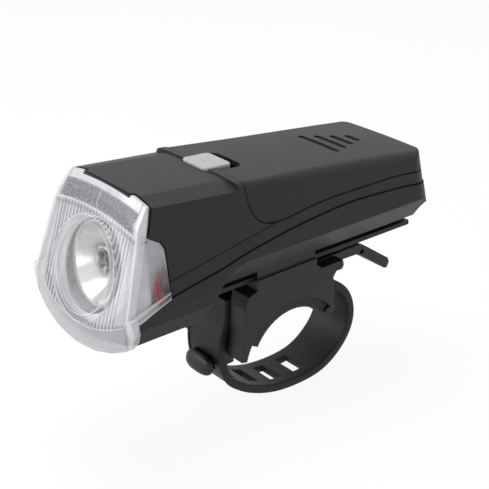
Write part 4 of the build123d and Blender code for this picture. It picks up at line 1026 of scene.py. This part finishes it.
class HEADLIGHT_OT_bracket(Operator):
    """Gives the bracket, its lever, pad and pins their finishes, and makes the hook's head and the rubber strap"""

    bl_idname = "headlight.bracket"
    bl_label = "Bracket and strap"

    def execute(self, context):
        colours = context.scene.headlight_colours
        base = moulded(
            "bracket_plastic", colours.bracket, rough=0.42, grain=0.3, depth=0.01, specular=0.3, edge=0.3,
        )
        pad = moulded(
            "pad_rubber", (0.012, 0.012, 0.012), rough=0.6, grain=0.3, depth=0.01, specular=0.3, edge=0.25,
            marks=pad_ribs,
        )
        rubber = moulded(
            "strap_rubber", (0.009, 0.009, 0.0095), rough=0.5, grain=0.4, depth=0.012, specular=0.24,
        )
        paint(base, "bracket_base", "release_lever")
        paint(pad, "saddle_pad")
        paint(rubber, "strap")
        paint(metal("pin_steel", (0.6, 0.6, 0.61), rough=0.3), "lever_pin", "strap_pin")
        body = bracket_copy()
        hook = surface_piece("hook_button", base, *hook_grid())
        for piece in (body, hook):
            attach(piece, "bracket")
        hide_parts("bracket_base")
        x, y, z, keep = strap_grid()
        band = surface_piece("strap_band", rubber, x, y, z, closed=False, keep=keep)
        soft_strap(band)
        left = surface_piece("strap_rim_left", rubber, *rim_grid(1.0))
        right = surface_piece("strap_rim_right", rubber, *rim_grid(-1.0))
        eye = surface_piece("strap_eye", rubber, *eye_grid())
        for piece in (band, eye, left, right):
            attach(piece, "bracket")
        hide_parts("strap")
        return {"FINISHED"}


# Camera: its target in millimetres, and its direction in degrees. Lamps: name, place, aim, size and power
CAMERA_TARGET = (20.0, -23.5, 47.2)
CAMERA_AZIMUTH = 50.7
CAMERA_ELEVATION = 25.2
CAMERA_SENSOR = 36.0
CAMERA_CLIP = (0.01, 20.0)
LAMPS = (
    ("key_top", (-0.10, -0.05, 0.75), (0.0, 0.0, 0.03), 0.55, 4.2),
    ("fill_left", (-0.35, -0.60, 0.25), (0.0, -0.03, 0.04), 0.45, 2.6),
    ("fill_right", (0.75, -0.15, 0.20), (0.0, 0.0, 0.04), 0.45, 0.9),
)
FLOOR_Z = -20.0
FLOOR_REACH = 3.0
FLOOR_COLOUR = (0.93, 0.93, 0.93, 1.0)
FLOOR_WHITE_SHARE = 0.92
WORLD_STRENGTH = 0.3
WHITE = (1.0, 1.0, 1.0, 1.0)


def seen_rays(tree, socket, share):
    """Sends share to the socket where a ray comes from the camera, a gloss or a clear piece, else nought."""
    path = tree.nodes.new("ShaderNodeLightPath")
    total = path.outputs["Is Camera Ray"]
    for name in ("Is Glossy Ray", "Is Transmission Ray"):
        joined = tree.nodes.new("ShaderNodeMath")
        joined.operation = "MAXIMUM"
        tree.links.new(total, joined.inputs[0])
        tree.links.new(path.outputs[name], joined.inputs[1])
        total = joined.outputs[0]
    scaled = tree.nodes.new("ShaderNodeMath")
    scaled.operation = "MULTIPLY"
    scaled.inputs[1].default_value = share
    tree.links.new(total, scaled.inputs[0])
    tree.links.new(scaled.outputs[0], socket)


def make_floor():
    """Pale floor that looks white, keeps a shadow, and lets views from below through."""
    mesh = bpy.data.meshes.new("studio_floor")
    corners = [(x * FLOOR_REACH, y * FLOOR_REACH, FLOOR_Z * MM) for x, y in ((-1, -1), (1, -1), (1, 1), (-1, 1))]
    mesh.from_pydata(corners, [], [(0, 1, 2, 3)])
    paper = Finish("studio_paper", Roughness=0.9, Base_Color=FLOOR_COLOUR)
    nodes = paper.tree.nodes
    seen_rays(paper.tree, paper.cover(nodes.new("ShaderNodeEmission")), FLOOR_WHITE_SHARE)
    clear = paper.cover(nodes.new("ShaderNodeBsdfTransparent"))
    paper.tree.links.new(nodes.new("ShaderNodeNewGeometry").outputs["Backfacing"], clear)
    mesh.materials.append(paper.material)
    show_mesh(mesh)


def make_world(scene):
    """Soft light from all round, which looks white wherever it is seen."""
    scene.world = bpy.data.worlds.new("studio_world")
    scene.world.use_nodes = True
    tree = scene.world.node_tree
    tree.nodes.clear()
    out = tree.nodes.new("ShaderNodeOutputWorld")
    mixed = tree.nodes.new("ShaderNodeMixShader")
    seen_rays(tree, mixed.inputs[0], 1.0)
    for index, strength in ((1, WORLD_STRENGTH), (2, 1.0)):
        light = tree.nodes.new("ShaderNodeBackground")
        light.inputs["Color"].default_value = WHITE
        light.inputs["Strength"].default_value = strength
        tree.links.new(light.outputs[0], mixed.inputs[index])
    tree.links.new(mixed.outputs[0], out.inputs["Surface"])


def aim_at(item, spot, target):
    """Places a lamp or the camera at the spot and turns it to the target."""
    item.location = spot
    item.rotation_mode = "QUATERNION"
    item.rotation_quaternion = (target - spot).to_track_quat("-Z", "Y")
    bpy.context.scene.collection.objects.link(item)


def make_lamps():
    """Three round soft lamps: one above, and one at each side of the front."""
    for name, spot, aim, size, power in LAMPS:
        data = bpy.data.lights.new(name, "AREA")
        data.shape = "DISK"
        data.size = size
        data.energy = power
        aim_at(bpy.data.objects.new(name, data), Vector(spot), Vector(aim))


def make_camera(lens, distance):
    """Camera at the distance from its target, in the photo's direction."""
    data = bpy.data.cameras.new("camera")
    data.lens = lens
    data.sensor_width = CAMERA_SENSOR
    data.clip_start, data.clip_end = CAMERA_CLIP
    camera = bpy.data.objects.new("camera", data)
    azimuth, elevation = math.radians(CAMERA_AZIMUTH), math.radians(CAMERA_ELEVATION)
    level = math.cos(elevation)
    back = Vector((math.sin(azimuth) * level, -math.cos(azimuth) * level, math.sin(elevation)))
    target = Vector(CAMERA_TARGET) * MM
    aim_at(camera, target + back * distance, target)
    return camera


class HEADLIGHT_OT_stage(Operator):
    """Makes the pale floor, the soft lights, the white surround and the camera"""

    bl_idname = "headlight.stage"
    bl_label = "Stage"

    def execute(self, context):
        scene = context.scene
        make_floor()
        make_world(scene)
        make_lamps()
        scene.camera = make_camera(scene.headlight_stage.lens, scene.headlight_stage.distance)
        scene.view_settings.view_transform = "Standard"
        return {"FINISHED"}


class HEADLIGHT_PT_panel(Panel):
    bl_idname = "HEADLIGHT_PT_panel"
    bl_label = "Headlight"
    bl_space_type = "VIEW_3D"
    bl_region_type = "UI"
    bl_category = "Headlight"

    def draw(self, context):
        layout = self.layout
        for group in (context.scene.headlight_colours, context.scene.headlight_stage):
            for key in group.__annotations__:
                layout.prop(group, key)
        for operator in OPERATORS:
            layout.operator(operator.bl_idname)


OPERATORS = (
    HEADLIGHT_OT_housings,
    HEADLIGHT_OT_optics,
    HEADLIGHT_OT_inside,
    HEADLIGHT_OT_bracket,
    HEADLIGHT_OT_stage,
)
GROUPS = (HeadlightColours, HeadlightStage)


def register():
    for item in GROUPS + OPERATORS + (HEADLIGHT_PT_panel,):
        bpy.utils.register_class(item)
    bpy.types.Scene.headlight_colours = PointerProperty(type=HeadlightColours)
    bpy.types.Scene.headlight_stage = PointerProperty(type=HeadlightStage)


def unregister():
    del bpy.types.Scene.headlight_stage
    del bpy.types.Scene.headlight_colours
    for item in reversed(GROUPS + OPERATORS + (HEADLIGHT_PT_panel,)):
        bpy.utils.unregister_class(item)


def main():
    register()
    bpy.ops.headlight.stage()
    bpy.ops.headlight.housings()
    bpy.ops.headlight.optics()
    bpy.ops.headlight.inside()
    bpy.ops.headlight.bracket()


if __name__ == "__main__":
    main()
